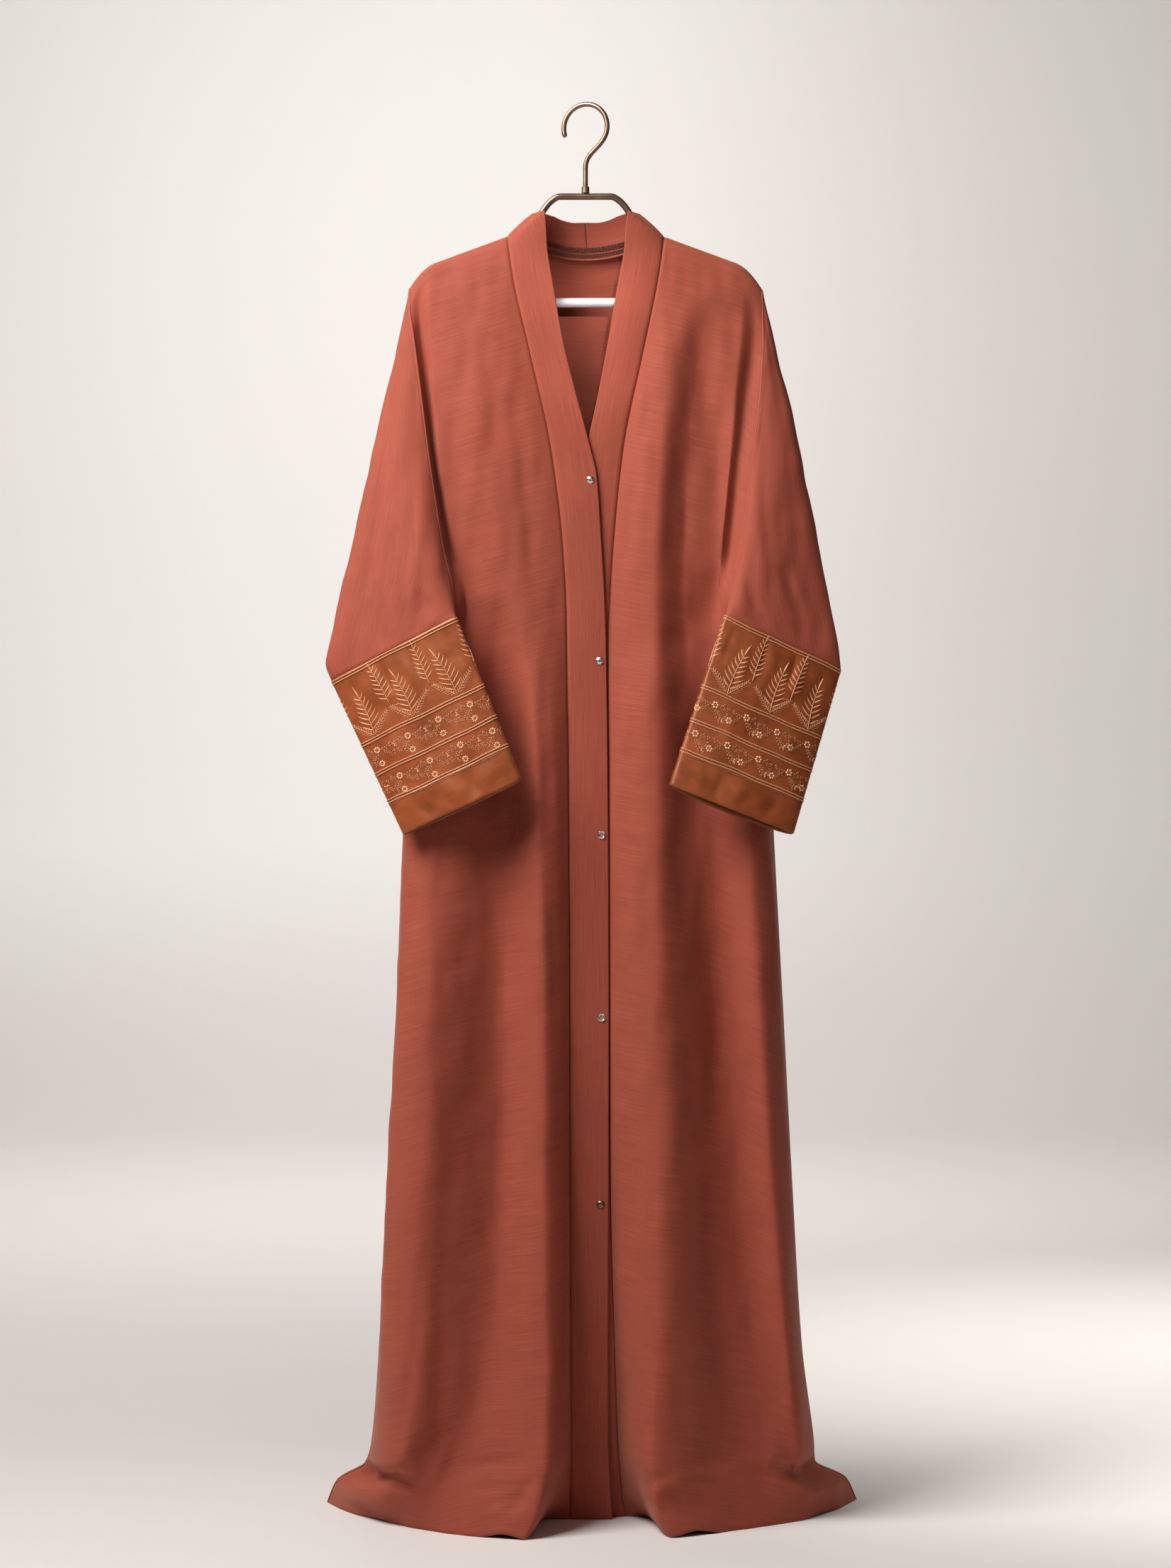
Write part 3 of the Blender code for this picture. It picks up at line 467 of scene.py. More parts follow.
# How one repeat of the leaf border is laid out, from the foot of its tall frond.
# columns of a frond: length, bend, pairs of leaflets, their length, share bare at its foot
TALL_FROND = (51.0, -0.26, 7, 17.0, 0.15)
LINK_FROND = (49.0, -0.16, 7, 13.5, 0.16)
LINK_SHIFT = 0.58
LINK_RISE = 26.0
LINK_SLIM = 0.9
FROND_STEPS = 16
FROND_STEM = (0.62, 0.36)
FROND_WIDTH = {RIGHT: 1.9, LEFT: 2.3}
LEAF_TAPER = 0.52
LAST_LEAFLET = 0.93
LEAFLET_STAGGER = 0.018
LEAFLET_BEND = 0.42
MOTIF_START = 0.38
MOTIF_SHIFTS = (1.6, -1.2, 0.8, -0.6, 1.1, -1.5)
MOTIF_LEANS = (0.16, 0.10, 0.02, 0.12, 0.05, 0.14)
# columns: lean, length
FERNS = ((-0.79, 31), (0.84, 33))
FERN_STEPS = 10
FERN_STEM = (0.5, 0.34)
FERN_BEND = 0.10
FERN_PAIRS = 9
FERN_LEAF = 8.4
FERN_OPENING = 0.92
STEM_LIFT = 0.35

# Twigs of one repeat of the flower border. columns: start round and down from the upper
# flower, angle, length, bend, number of leaves, their size
TWIGS = (
    (5.0, 2.0, 0.05, 15, -0.5, 9, 2.6),
    (6.5, 3.5, 0.55, 13, 0.4, 8, 2.4),
    (-2.0, 5.0, 2.00, 15, 0.4, 9, 2.8),
    (-3.0, 5.0, 2.70, 12, -0.5, 8, 2.6),
    (-4.5, 1.5, 3.50, 9, 0.5, 6, 2.2),
    (21.5, 1.0, -0.35, 9, 0.6, 6, 2.2),
    (22.5, 5.0, 0.95, 10, 0.5, 7, 2.3),
    (19.0, 6.0, 1.75, 8, -0.4, 6, 2.1),
)
FLOWER_PITCH = CUFF_ROUND / 8
FLOWER_DROP = 6.5
# How far the lower flower lies from the upper one, round the cuff and down
LOWER_FLOWER = {RIGHT: (-1.0, 17.5), LEFT: (20.0, 11.5)}
PETALS = {RIGHT: 9, LEFT: 6}
# Where the bud lies from the upper flower, round the cuff and down
BUD = {RIGHT: (20.5, 3.0), LEFT: (-15.0, 14.0)}
FLOWER_RADII = (4.5, 4.3)
BUD_RADIUS = 3.4
TWIG_STEPS = 8
# The waved thread below the lowest cord
PICOT_GAP = 2.1
PICOT_HEIGHT = 0.8
PICOT_PITCH = 3.2

# Overlocked seam inside the back of the neck: height of each row of loops above the seam
OVERLOCK_ROWS = (4.5, 12.5)
OVERLOCK_HALF = 64.0
OVERLOCK_PITCH = 2.1
OVERLOCK_REACH = 2.4
# columns: start, end and points of the centre back stitch above the neck seam
CENTRE_STITCH = (2.0, 44.0, 24)
LINE_POINTS = 90
# Radii of the looper thread, the needle lines and the centre back stitch
LOOP_RADIUS = 0.52
LINE_RADIUS = 0.42
CENTRE_RADIUS = 0.55

# The hanger, in millimetres from the hook's seat
HOOK_WIRE = 3.0
HOOK_RADIUS = 28.0
HOOK_TURN = math.radians(20)
HOOK_FIRST = math.radians(-28)
HOOK_LAST = math.radians(196)
STEM_TOP = -74.0
STEM_PULL = 17.0
BOSS_TOP = -97.0
BOSS_RADIUS = 4.75
FRAME_TUBE = 4.0
FRAME_CROWN = -109.1
# columns: x, z of the frame's right half, from the crown to where it meets the bar
FRAME_CORNERS = (
    (0, -109.1),
    (31, -109.1),
    (41.5, -114.5),
    (70.5, -155),
    (80, -162.2),
    (182, -198.6),
    (190.5, -203.5),
    (196, -211),
    (197.5, -221),
    (195.5, -230),
    (192, -235.8),
    (188.5, -238),
    (186, -238),
)
BAR_LEVEL = -238.0
BAR_RADIUS = 5.75
BAR_HALF = 185.7
HOOK_POINTS = 61
FRAME_POINTS = 260
BAR_POINTS = 40
# Rings of a bar's rounded end. columns: reach, share of the radius
TUBE_END = ((0.35, 0.94), (0.7, 0.72), (0.93, 0.36))
FLAT_END = 0.3

# Heights of a snap's face. columns: distance from its middle, height off the band
SNAP_RING = ((2.6, 0.15), (2.75, 0.75), (3.3, 1.25), (4.0, 1.3), (4.7, 1.0), (5.0, 0.4), (5.0, 0.0))
SNAP_CORE = ((2.7, 0.0), (2.6, 0.25), (1.4, 0.35), (0.1, 0.38))
SNAP_DOME = ((0.1, 2.2), (1.6, 2.05), (3.1, 1.6), (4.3, 0.9), (4.9, 0.3), (5.0, 0.0))
SNAP_FACETS = ((0.1, 2.3), (1.9, 2.15), (3.6, 1.35), (4.7, 0.5), (5.0, 0.0))
# columns: profile, sides, angle of its sharp edges, material
SNAP_KINDS = {
    1: (SNAP_FACETS, 9, 15, "snap"),
    2: (SNAP_FACETS, 9, 15, "snap"),
    3: (SNAP_RING, 40, 40, "snap"),
    4: (SNAP_RING, 40, 40, "snap"),
    5: (SNAP_DOME, 40, 40, "snap_dark"),
}

# Slubbed crepe: long uneven threads along the grain over a fine grainy weave. Its noise has
# the columns features a metre along and across the grain, detail, roughness, and weight in
# the tone and in the relief; its relief has strength and distance
CREPE = {
    "noise": (
        ((16.0, 760.0), 4.0, 0.62, 0.56, 1.0),
        ((420.0, 1900.0), 2.0, 0.5, 0.20, 0.5),
        ((900.0, 60.0), 2.0, 0.5, 0.08, 0.3),
        ((9.0, 5.0), 2.0, 0.5, 0.16, 0.0),
    ),
    "tones": (
        (0.32, (0.214, 0.0358, 0.0172)),
        (0.5, (0.288, 0.0505, 0.0246)),
        (0.68, (0.370, 0.0720, 0.0368)),
    ),
    "relief": (0.35, 0.0006),
    "shader": {
        "Roughness": 0.78,
        "Specular IOR Level": 0.42,
        "Sheen Weight": 0.14,
        "Sheen Roughness": 0.5,
        "Sheen Tint": (1.0, 0.66, 0.48, 1.0),
    },
}
# Duchess satin: fine cross threads, soft gloss and slight unevenness, which also makes its
# roughness uneven. columns of uneven: least, spread
SATIN = {
    "noise": (
        ((60.0, 2400.0), 3.0, 0.5, 0.45, 0.2),
        ((28.0, 34.0), 3.0, 0.5, 0.55, 1.0),
    ),
    "tones": (
        (0.34, (0.165, 0.036, 0.010)),
        (0.5, (0.250, 0.056, 0.016)),
        (0.66, (0.350, 0.086, 0.027)),
    ),
    "relief": (0.25, 0.002),
    "uneven": (0.27, 0.18),
    "shader": {
        "Specular IOR Level": 0.62,
        "Specular Tint": (1.0, 0.72, 0.5, 1.0),
        "Sheen Weight": 0.3,
        "Sheen Roughness": 0.3,
        "Sheen Tint": (1.0, 0.6, 0.35, 1.0),
    },
}
CREPE_PIECES = (
    "front_right",
    "front_left",
    "back",
    "sleeve_right",
    "sleeve_left",
    "band_right",
    "band_left",
)
# columns: name, dark and light tone, roughness, metallic, features a metre, relief
PLAIN_LOOKS = {
    "thread": ("embroidery_thread", (0.50, 0.205, 0.090), (0.74, 0.36, 0.175), 0.40, 0, 900, 0.5),
    "thread_bright": ("flower_thread", (0.66, 0.33, 0.165), (0.90, 0.52, 0.30), 0.38, 0, 900, 0.5),
    "thread_dark": ("embroidery_shade", (0.20, 0.050, 0.022), (0.42, 0.13, 0.055), 0.5, 0, 900, 0.5),
    "seam_roll": ("seam_roll", (0.25, 0.048, 0.027), (0.36, 0.077, 0.045), 0.8, 0, 1100, 0.4),
    "overlock": ("overlock_thread", (0.060, 0.014, 0.009), (0.20, 0.058, 0.034), 0.6, 0, 1400, 0.5),
    "bronze": ("rose_bronze", (0.20, 0.125, 0.085), (0.31, 0.205, 0.15), 0.36, 0.9, 40, 0.05),
    "white": ("white_sleeve", (0.60, 0.55, 0.57), (0.68, 0.63, 0.65), 0.5, 0, 120, 0.08),
    "snap": ("snap_steel", (0.62, 0.60, 0.60), (0.86, 0.85, 0.85), 0.22, 1, 300, 0.03),
    "snap_dark": ("snap_dark_steel", (0.16, 0.085, 0.065), (0.30, 0.18, 0.145), 0.28, 1, 300, 0.03),
    "snap_core": ("snap_core", (0.30, 0.12, 0.09), (0.42, 0.19, 0.14), 0.5, 0, 300, 0.05),
}
# How uneven their roughness is, and the height of their relief in metres
ROUGHNESS_SPREAD = 0.14
FINE_RELIEF = 0.0004

# The backdrop's wall stands behind every place a camera is put, in metres
WALL_Y = 6.4
WALL_BEND = 2.0
WALL_WIDTH = 26.0
WALL_HEIGHT = 9.0
FLOOR_FRONT = -2.9
WALL_STEPS = 12
# Painted shade on the backdrop, darker on the floor and towards the right. columns: axis of its
# paler share, where it starts and ends
PAPER_SHADE_SHARES = (("Z", -HEM * MM + 0.05, -0.9), ("X", -0.35, 1.5))
# How much painted shade darkens the right side of that share, and how uneven the paper is
PAPER_RIGHT_SHADE = 0.75
PAPER_GRAIN = 0.06
# Tones of the paper, from its painted shade to its paler share, also spread by its grain
PAPER_SHADE_AND_GRAIN_TONES = ((0.0, (0.680, 0.656, 0.640)), (1.0, (0.845, 0.829, 0.816)))

WARM = (1.0, 0.975, 0.94)
WARMER = (1.0, 0.86, 0.76)
# columns: name, kind, place, target, width in metres or cone in degrees, power, colour
LIGHTS = (
    ("key", "AREA", (-1.32, -1.14, 1.1), (0, 0, -0.5), 1.4, 121.0, WARM),
    ("fill", "AREA", (0.9, -3.6, 0.5), (0.1, 0, -0.45), 1.2, 7.0, WARMER),
    ("floor_light", "SPOT", (1.9, 0.0, 1.7), (1.3, 0.75, -1.7), 45.0, 560.0, WARM),
    ("backdrop_light", "AREA", (-0.4, 2.2, 1.7), (-0.2, 6.4, -0.4), 2.0, 157.0, WARM),
    ("neck_light_high", "SPOT", (0.35, -3.0, 0.1), (0.0, 0.035, -0.235), 1.8, 720.0, WARM),
    ("neck_light_low", "SPOT", (0.2, -3.0, 0.05), (0.003, 0.035, -0.335), 1.4, 560.0, WARM),
)
SPOT_SOFTNESS = 0.06
# Brightness of the world: what it lights with, and how it looks beyond the backdrop
SKY_LIGHT = 0.072
SKY_SEEN = 0.74
SKY_COLOUR = (1.0, 0.90, 0.83, 1.0)

# The camera, in metres, and its frame in the photo's pixels
CAMERA_DISTANCE = 4.0
CAMERA_HEIGHT = -0.822
SENSOR = 36.0
FOCAL_PIXELS = 4651.0
PHOTO_HEIGHT = 2213.0

TINY = 1e-9


def monotone_curve(keys, values, at):
    """Smooth values through a table's rows that never overshoot them."""
    keys = np.asarray(keys, float)
    values = np.asarray(values, float)
    if values.ndim == 1:
        values = values[:, None]
    at = np.atleast_1d(np.asarray(at, float))
    step = np.diff(keys)[:, None]
    slope = np.diff(values, axis=0) / step
    tangent = np.zeros_like(values)
    tangent[0] = slope[0]
    tangent[-1] = slope[-1]
    before = slope[:-1]
    after = slope[1:]
    same = before * after > 0
    total = np.where(same, before + after, 1.0)
    tangent[1:-1] = np.where(same, 2 * before * after / total, 0.0)
    cell = np.clip(np.searchsorted(keys, at, side="right") - 1, 0, len(keys) - 2)
    span = step[cell]
    t = ((at - keys[cell])[:, None]) / span
    h00 = (1 + 2 * t) * (1 - t) ** 2
    h10 = t * (1 - t) ** 2
    h01 = t * t * (3 - 2 * t)
    h11 = t * t * (t - 1)
    low = h00 * values[cell] + h10 * span * tangent[cell]
    return low + h01 * values[cell + 1] + h11 * span * tangent[cell + 1]


def table_at(table, level):
    rows = np.asarray(table, float)
    return monotone_curve(rows[:, 0], rows[:, 1:], level)[0]


def smooth_step(value, low, high):
    share = np.clip((value - low) / (high - low), 0.0, 1.0)
    return share * share * (3 - 2 * share)


def near(distance, reach):
    """One on a line, easing to nothing beyond its reach."""
    return np.exp(-((distance / reach) ** 2))


def unit(angle):
    return np.array([math.cos(angle), math.sin(angle)])


def shoulder_drop(out):
    out = abs(out)
    rounding = max(out - SHOULDER_ROUND_FROM, 0.0) ** 2 * SHOULDER_ROUND
    return max(out - NECK_POINT, 0.0) * SHOULDER_SLOPE + rounding


def neck_share(out):
    return max(1 - (abs(out) / NECK_POINT) ** 2, 0.0)


def armhole_levels(steps):
    angles = np.linspace(0, math.pi / 2, steps + 1)
    return SHOULDER + (UNDERARM - SHOULDER) * (1 - np.cos(angles))


def body_levels():
    skirt = np.linspace(UNDERARM, HEM, SKIRT_STEPS + 1)[1:]
    return np.concatenate([armhole_levels(ARMHOLE_STEPS), skirt])


def spread_along(points, steps):
    """Sample a smooth curve through control points, with equal steps in each stretch."""
    points = np.asarray(points, float)
    lengths = np.linalg.norm(np.diff(points[:, :2], axis=0), axis=1)
    chord = np.concatenate([[0], np.cumsum(lengths)])
    at = [chord[0]]
    for index in range(len(points) - 1):
        for part in range(1, steps + 1):
            at.append(chord[index] + (chord[index + 1] - chord[index]) * part / steps)
    return monotone_curve(chord, points, at)


def tilted_point(side, out, behind, level, tilt):
    """A point of the body, whose rows follow the shoulder's slope as far as they tilt."""
    return (side * out, behind, -(level + tilt * shoulder_drop(out)))


def front_section(side, level):
    tilt, *plan = table_at(FRONTS[side], level)
    plan = spread_along(np.reshape(plan, (-1, 2)), FRONT_STEPS_ACROSS)
    return [tilted_point(side, out, -fwd, level, tilt) for out, fwd in plan]


def back_fold_depth(x, level):
    depth = 0.0
    for top_x, hem_x, half_width, hem_depth, start in BACK_FOLDS:
        share = smooth_step(level, start, HEM)
        middle = top_x + (hem_x - top_x) * (level - SHOULDER) / (HEM - SHOULDER)
        width = half_width * (BACK_FOLD_NARROW + (1 - BACK_FOLD_NARROW) * share)
        depth += hem_depth * share * math.exp(-(((x - middle) / width) ** 2))
    return depth


def front_top_outs(side, steps):
    plan = spread_along(np.asarray(FRONTS[side][0][2:], float).reshape(-1, 2), steps)
    return [out for out, _ in plan]


def back_half(side, level):
    """Points of half the back panel at one level, from the centre to the outer seam."""
    front = table_at(FRONTS[side], level)
    centre, extra, seam_back = table_at(BACK, level)
    seam_out = front[-2] + extra
    if level >= UNDERARM:
        seam_out = front[-2]
        seam_back = -front[-1]
    tilt = front[0]
    neck = [NECK_POINT * part / BACK_NECK_STEPS for part in range(BACK_NECK_STEPS)]
    outs = neck + front_top_outs(side, BACK_STEPS_ACROSS)
    last = len(outs) - 1
    blend = 1 - smooth_step(level, *BACK_TOP_BLEND)
    rise = front[HOLLOW_FWD] if level < BACK_TOP_BLEND[1] else 0.0
    points = []
    for index, out in enumerate(outs):
        angle = math.pi / 2 * index / last
        low_out = seam_out * math.sin(angle) ** (2 / BACK_SQUARENESS)
        low_back = seam_back + (centre - seam_back) * math.cos(angle) ** (2 / BACK_SQUARENESS)
        top_back = BACK_NECK_DEPTH * neck_share(out) + rise
        if index == last:
            out, low_back, top_back = seam_out, seam_back, seam_back
        this_out = blend * out + (1 - blend) * low_out
        this_back = blend * top_back + (1 - blend) * low_back
        drop = shoulder_drop(this_out) + BACK_NECK_DROP * neck_share(this_out)
        inside = 1 - (abs(this_out) / max(seam_out, 1.0)) ** BACK_SEAM_FADE
        fold = back_fold_depth(side * this_out, level) * max(inside, 0.0)
        points.append((side * this_out, this_back + fold, -(level + tilt * drop)))
    return points


def back_section(level):
    return back_half(RIGHT, level)[::-1] + back_half(LEFT, level)[1:]


def armhole_ring(side, steps):
    """The armhole, down the front seam from the shoulder and up the back seam."""
    down_front = []
    down_back = []
    for level in armhole_levels(steps):
        tilt, *_, out, fwd = table_at(FRONTS[side], level)
        _, extra, seam_back = table_at(BACK, level)
        down_front.append(tilted_point(side, out, -fwd, level, tilt))
        down_back.append(tilted_point(side, out + extra, seam_back, level, tilt))
    return np.array(down_front + down_back[-2:0:-1])


def cuff_ring(side, share, steps):
    """A flattened ring round a cuff: front side first, from the outer corner."""
    corners = {name: np.asarray(value, float) for name, value in CUFFS[side].items()}
    inner = corners["top_inner"] * (1 - share) + corners["bottom_inner"] * share
    outer = corners["top_outer"] * (1 - share) + corners["bottom_outer"] * share
    depth = CUFF_DEPTH_TOP + (CUFF_DEPTH_BOTTOM - CUFF_DEPTH_TOP) * share
    longer = CUFF_BACK_LONGER[side] * share * share
    front = []
    back = []
    for step in range(steps + 1):
        even = step / steps
        eased = (1 - math.cos(math.pi * even)) / 2
        across = (1 - FOLD_CROWDING) * even + FOLD_CROWDING * eased
        round_ends = math.sqrt(max(4 * across * (1 - across), 0.0))
        swell = depth * round_ends**CUFF_ROUNDNESS if 0 < step < steps else 0.0
        out, fwd, down = outer + (inner - outer) * across
        front.append((side * out, -fwd - swell, -down))
        back.append((side * out, -fwd + swell, -down - longer * round_ends))
    return np.array(front + back[-2:0:-1])


def sleeve_grid(side):
    start = armhole_ring(side, SLEEVE_RING)
    end = cuff_ring(side, 0.0, SLEEVE_RING)
    turn = 2 * math.pi * np.arange(len(start)) / len(start)
    fold = np.maximum(np.cos(turn), 0.0) ** ELBOW_SPREAD
    rows = []
    for share in np.linspace(0, 1, SLEEVE_STEPS + 1):
        stand = monotone_curve(*np.array(ELBOW[side]).T, share)[0][0]
        ring = start * (1 - share) + end * share
        ring[:, 0] += side * stand * fold
        ring[:, 1] -= np.sin(turn) * SLEEVE_FULLNESS * math.sin(math.pi * share)
        rows.append(ring)
    return np.array(rows)


def neck_seam(x):
    """A point of the seam between the back panel and the neck band."""
    share = neck_share(x)
    return np.array([x, BACK_NECK_DEPTH * share, -SHOULDER - BACK_NECK_DROP * share])


def band_grid(side):
    """One strip from the hem, over the shoulder, to the centre back."""
    across = np.array(BAND_ACROSS)[:, None]
    rows = []
    for level in body_levels()[::-1]:
        tilt, seam_out, seam_fwd, *_ = table_at(FRONTS[side], level)
        seam = np.array(tilted_point(side, seam_out, -seam_fwd, level, tilt))
        out, fwd, down = table_at(BAND_EDGES[side], level)
        rows.append(seam + (np.array([side * out, -fwd, -down]) - seam) * across)
    for share in np.linspace(0, 1, NECK_BAND_STEPS + 1)[1:]:
        seam = neck_seam(side * NECK_POINT * (1 - share))
        out, behind, down = table_at(BACK_NECK_EDGE, share)
        rows.append(seam + (np.array([side * out, behind, -down]) - seam) * across)
    return np.array(rows)


def grid_normals(grid, closed, facing=-1):
    """Unit normals at the points of a grid, out of a tube or along facing."""
    down = np.gradient(grid, axis=0)
    if closed:
        across = (np.roll(grid, -1, axis=1) - np.roll(grid, 1, axis=1)) / 2
        away = grid - grid.mean(axis=1, keepdims=True)
    else:
        across = np.gradient(grid, axis=1)
        away = np.broadcast_to(np.array([0.0, facing, 0.0]), grid.shape)
    normals = np.cross(across, down)
    normals /= np.maximum(np.linalg.norm(normals, axis=2, keepdims=True), TINY)
    return normals * (1 if np.sum(normals * away) > 0 else -1)


def beside_line(x, y, start, end):
    """Share of the way along a line, held to its ends, and the distance to its side."""
    heading = np.array(end, float) - np.array(start, float)
    length = np.linalg.norm(heading)
    heading /= length
    x, y = x - start[0], y - start[1]
    share = np.clip((x * heading[0] + y * heading[1]) / length, 0, 1)
    return share, x * heading[1] - y * heading[0]


def crease_relief(grid, creases):
    """How far the listed creases move each point along its normal."""
    relief = np.zeros(grid.shape[:2])
    for x_a, down_a, x_b, down_b, bow, half_width, depth in creases:
        ends = (x_a, down_a), (x_b, down_b)
        share, aside = beside_line(grid[..., 0], -grid[..., 2], *ends)
        aside = aside - bow * 4 * share * (1 - share)
        relief += depth * np.sin(math.pi * share) ** CREASE_FADE * near(aside, half_width)
    return relief


def ripple_relief(grid, seed):
    x, down = grid[..., 0], -grid[..., 2]
    relief = np.zeros(x.shape)
    for number, (wide, tall, turn, height) in enumerate(RIPPLES):
        shift = RIPPLE_TURN * seed * (number + 1)
        bend = RIPPLE_WANDER * np.sin(down / (tall * RIPPLE_WANDER_LENGTH) + shift)
        sideways = np.sin(2 * math.pi * x / wide + bend + turn + shift)
        relief += height * sideways * np.sin(2 * math.pi * down / tall + turn * 2 + shift)
    return relief


def grid_lengths(grid, closed):
    """Distances along each row and down each column; a tube has one column more."""
    if closed:
        grid = np.concatenate([grid, grid[:, :1]], axis=1)
    lengths = []
    for axis in (1, 0):
        steps = np.linalg.norm(np.diff(grid, axis=axis), axis=2)
        start = np.zeros_like(steps.take([0], axis=axis))
        lengths.append(np.concatenate([start, np.cumsum(steps, axis=axis)], axis=axis))
    return lengths


def boundary_loops(rows, columns, closed):
    if closed:
        return [[(row, column) for column in range(columns)] for row in (0, rows - 1)]
    loop = [(0, column) for column in range(columns - 1)]
    loop += [(row, columns - 1) for row in range(rows - 1)]
    loop += [(rows - 1, column) for column in range(columns - 1, 0, -1)]
    loop += [(row, 0) for row in range(rows - 1, 0, -1)]
    return [loop]


def turn_outward(mesh):
    work = bmesh.new()
    work.from_mesh(mesh)
    bmesh.ops.recalc_face_normals(work, faces=work.faces)
    work.to_mesh(mesh)
    work.free()


def add_mesh(name, points, faces, material, sharp=None, uv=None, outward=True):
    """A smooth object from points in metres, with edges sharp beyond an angle in degrees."""
    mesh = bpy.data.meshes.new(name)
    mesh.from_pydata(points.tolist(), [], faces)
    if uv is not None:
        layer = mesh.uv_layers.new(name="grain")
        layer.data.foreach_set("uv", uv.astype(np.float32).ravel())
    mesh.shade_smooth()
    if sharp is not None:
        mesh.set_sharp_from_angle(angle=math.radians(sharp))
    mesh.materials.append(material)
    thing = bpy.data.objects.new(name, mesh)
    bpy.context.scene.collection.objects.link(thing)
    if outward:
        turn_outward(mesh)
    return thing


def declare(thing, node=None):
    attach(thing, "root")
    if node:
        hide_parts(node)


def shell(name, grid, normals, thickness, closed, grain, material):
    """A closed thin shell with rounded edges round a grid of points."""
    rows, columns = grid.shape[:2]
    wide = grain.shape[1]
    half = thickness / 2
    points = [(grid + normals * half).reshape(-1, 3), (grid - normals * half).reshape(-1, 3)]
    across = grid[0, 1] - grid[0, 0]
    down = grid[1, 0] - grid[0, 0]
    outward = np.dot(np.cross(across, down), normals[0, 0] + normals[1, 1]) > 0
    row = np.arange(rows - 1)[:, None]
    column = np.arange(columns if closed else columns - 1)[None, :]
    cells = []
    for width, beside in ((columns, (column + 1) % columns), (wide, column + 1)):
        low, high = row * width, (row + 1) * width
        corners = (low + column, low + beside, high + beside, high + column)
        quads = np.stack(corners, axis=-1).reshape(-1, 4)
        cells.append(quads if outward else quads[:, ::-1])
    size = rows * columns
    all_quads = [cells[0], cells[0][:, ::-1] + size]
    all_grain = [cells[1], cells[1][:, ::-1]]
    base = 2 * size
    for loop in boundary_loops(rows, columns, closed):
        count = len(loop)
        rim = []
        for index, (row, column) in enumerate(loop):
            inner_row = min(max(row, 1), rows - 2)
            inner_column = column if closed else min(max(column, 1), columns - 2)
            away = grid[row, column] - grid[inner_row, inner_column]
            away /= max(np.linalg.norm(away), TINY)
            rim.append(grid[row, column] + away * half * RIM_ROUND)
            next_row, next_column = loop[(index + 1) % count]
            o1, o2 = row * columns + column, next_row * columns + next_column
            m1, m2 = base + index, base + (index + 1) % count
            g1, g2 = row * wide + column, next_row * wide + next_column
            all_quads.append(np.array([[o1, o2, m2, m1], [m1, m2, o2 + size, o1 + size]]))
            all_grain.append(np.array([[g1, g2, g2, g1], [g1, g2, g2, g1]]))
        points.append(np.array(rim))
        base += count
    uv = grain.reshape(-1, 2)[np.concatenate(all_grain).reshape(-1)] * MM
    points = np.concatenate(points) * MM
    return add_mesh(name, points, np.concatenate(all_quads).tolist(), material, uv=uv)


def ring_faces(rings, sides):
    """Faces between closed rings of points, and one over each end."""
    faces = []
    for low in range(0, (rings - 1) * sides, sides):
        for side in range(sides):
            beside = (side + 1) % sides
            faces.append((low + side, low + beside, low + sides + beside, low + sides + side))
    faces.append(tuple(range(sides))[::-1])
    faces.append(tuple(range((rings - 1) * sides, rings * sides)))
    return faces


def swept_tube(name, path, radius, sides, material, ball_end=False):
    """A round bar along a path, whose last end is rounded."""
    path = np.asarray(path, float)
    heading = np.gradient(path, axis=0)
    heading /= np.linalg.norm(heading, axis=1, keepdims=True)
    across = np.cross(heading, np.array([0.0, 1.0, 0.02]))
    across /= np.linalg.norm(across, axis=1, keepdims=True)
    frames = list(zip(across, np.cross(across, heading)))
    centres = list(path)
    radii = [radius] * len(path)
    for reach, share in TUBE_END:
        centres.append(path[-1] + heading[-1] * radius * reach * (1.0 if ball_end else FLAT_END))
        frames.append(frames[-1])
        radii.append(radius * share)
    angles = 2 * math.pi * np.arange(sides)[:, None] / sides
    rings = []
    for centre, (x_axis, y_axis), size in zip(centres, frames, radii):
        rings.append(centre + size * (np.cos(angles) * x_axis + np.sin(angles) * y_axis))
    faces = ring_faces(len(rings), sides)
    return add_mesh(name, np.concatenate(rings) * MM, faces, material, sharp=60)


def turned(name, profile, sides, material, sharp=40):
    """A solid of revolution about Z from (radius, height) rows."""
    points = []
    for radius, height in profile:
        for side in range(sides):
            angle = 2 * math.pi * side / sides
            points.append((radius * math.cos(angle), radius * math.sin(angle), height))
    return add_mesh(name, np.array(points) * MM, ring_faces(len(profile), sides), material, sharp)


def set_inputs(owner, node, values):
    """Set a node's inputs; a value that is another node's output is linked."""
    for name, value in values.items():
        if isinstance(value, bpy.types.NodeSocket):
            owner.node_tree.links.new(value, node.inputs[name])
        else:
            node.inputs[name].default_value = value


def add_node(owner, kind, **values):
    node = owner.node_tree.nodes.new(f"ShaderNode{kind}")
    set_inputs(owner, node, values)
    return node


def math_node(owner, operation, *values):
    node = add_node(owner, "Math")
    node.operation = operation
    set_inputs(owner, node, dict(enumerate(values)))
    return node.outputs[0]


def weighted(material, *terms):
    """The sum of (source, weight) terms."""
    parts = [math_node(material, "MULTIPLY", source, weight) for source, weight in terms]
    total = parts[0]
    for part in parts[1:]:
        total = math_node(material, "ADD", total, part)
    return total


def stretched_noise(material, scale, detail, roughness):
    """Noise stretched along the grain: scale is (along, across) in features a metre."""
    place = add_node(material, "UVMap")
    place.uv_map = "grain"
    stretch = add_node(material, "Mapping", Vector=place.outputs["UV"], Scale=(*scale, 1.0))
    vector = stretch.outputs["Vector"]
    noise = add_node(
        material, "TexNoise", Vector=vector, Scale=1.0, Detail=detail, Roughness=roughness
    )
    return noise.outputs["Fac"]


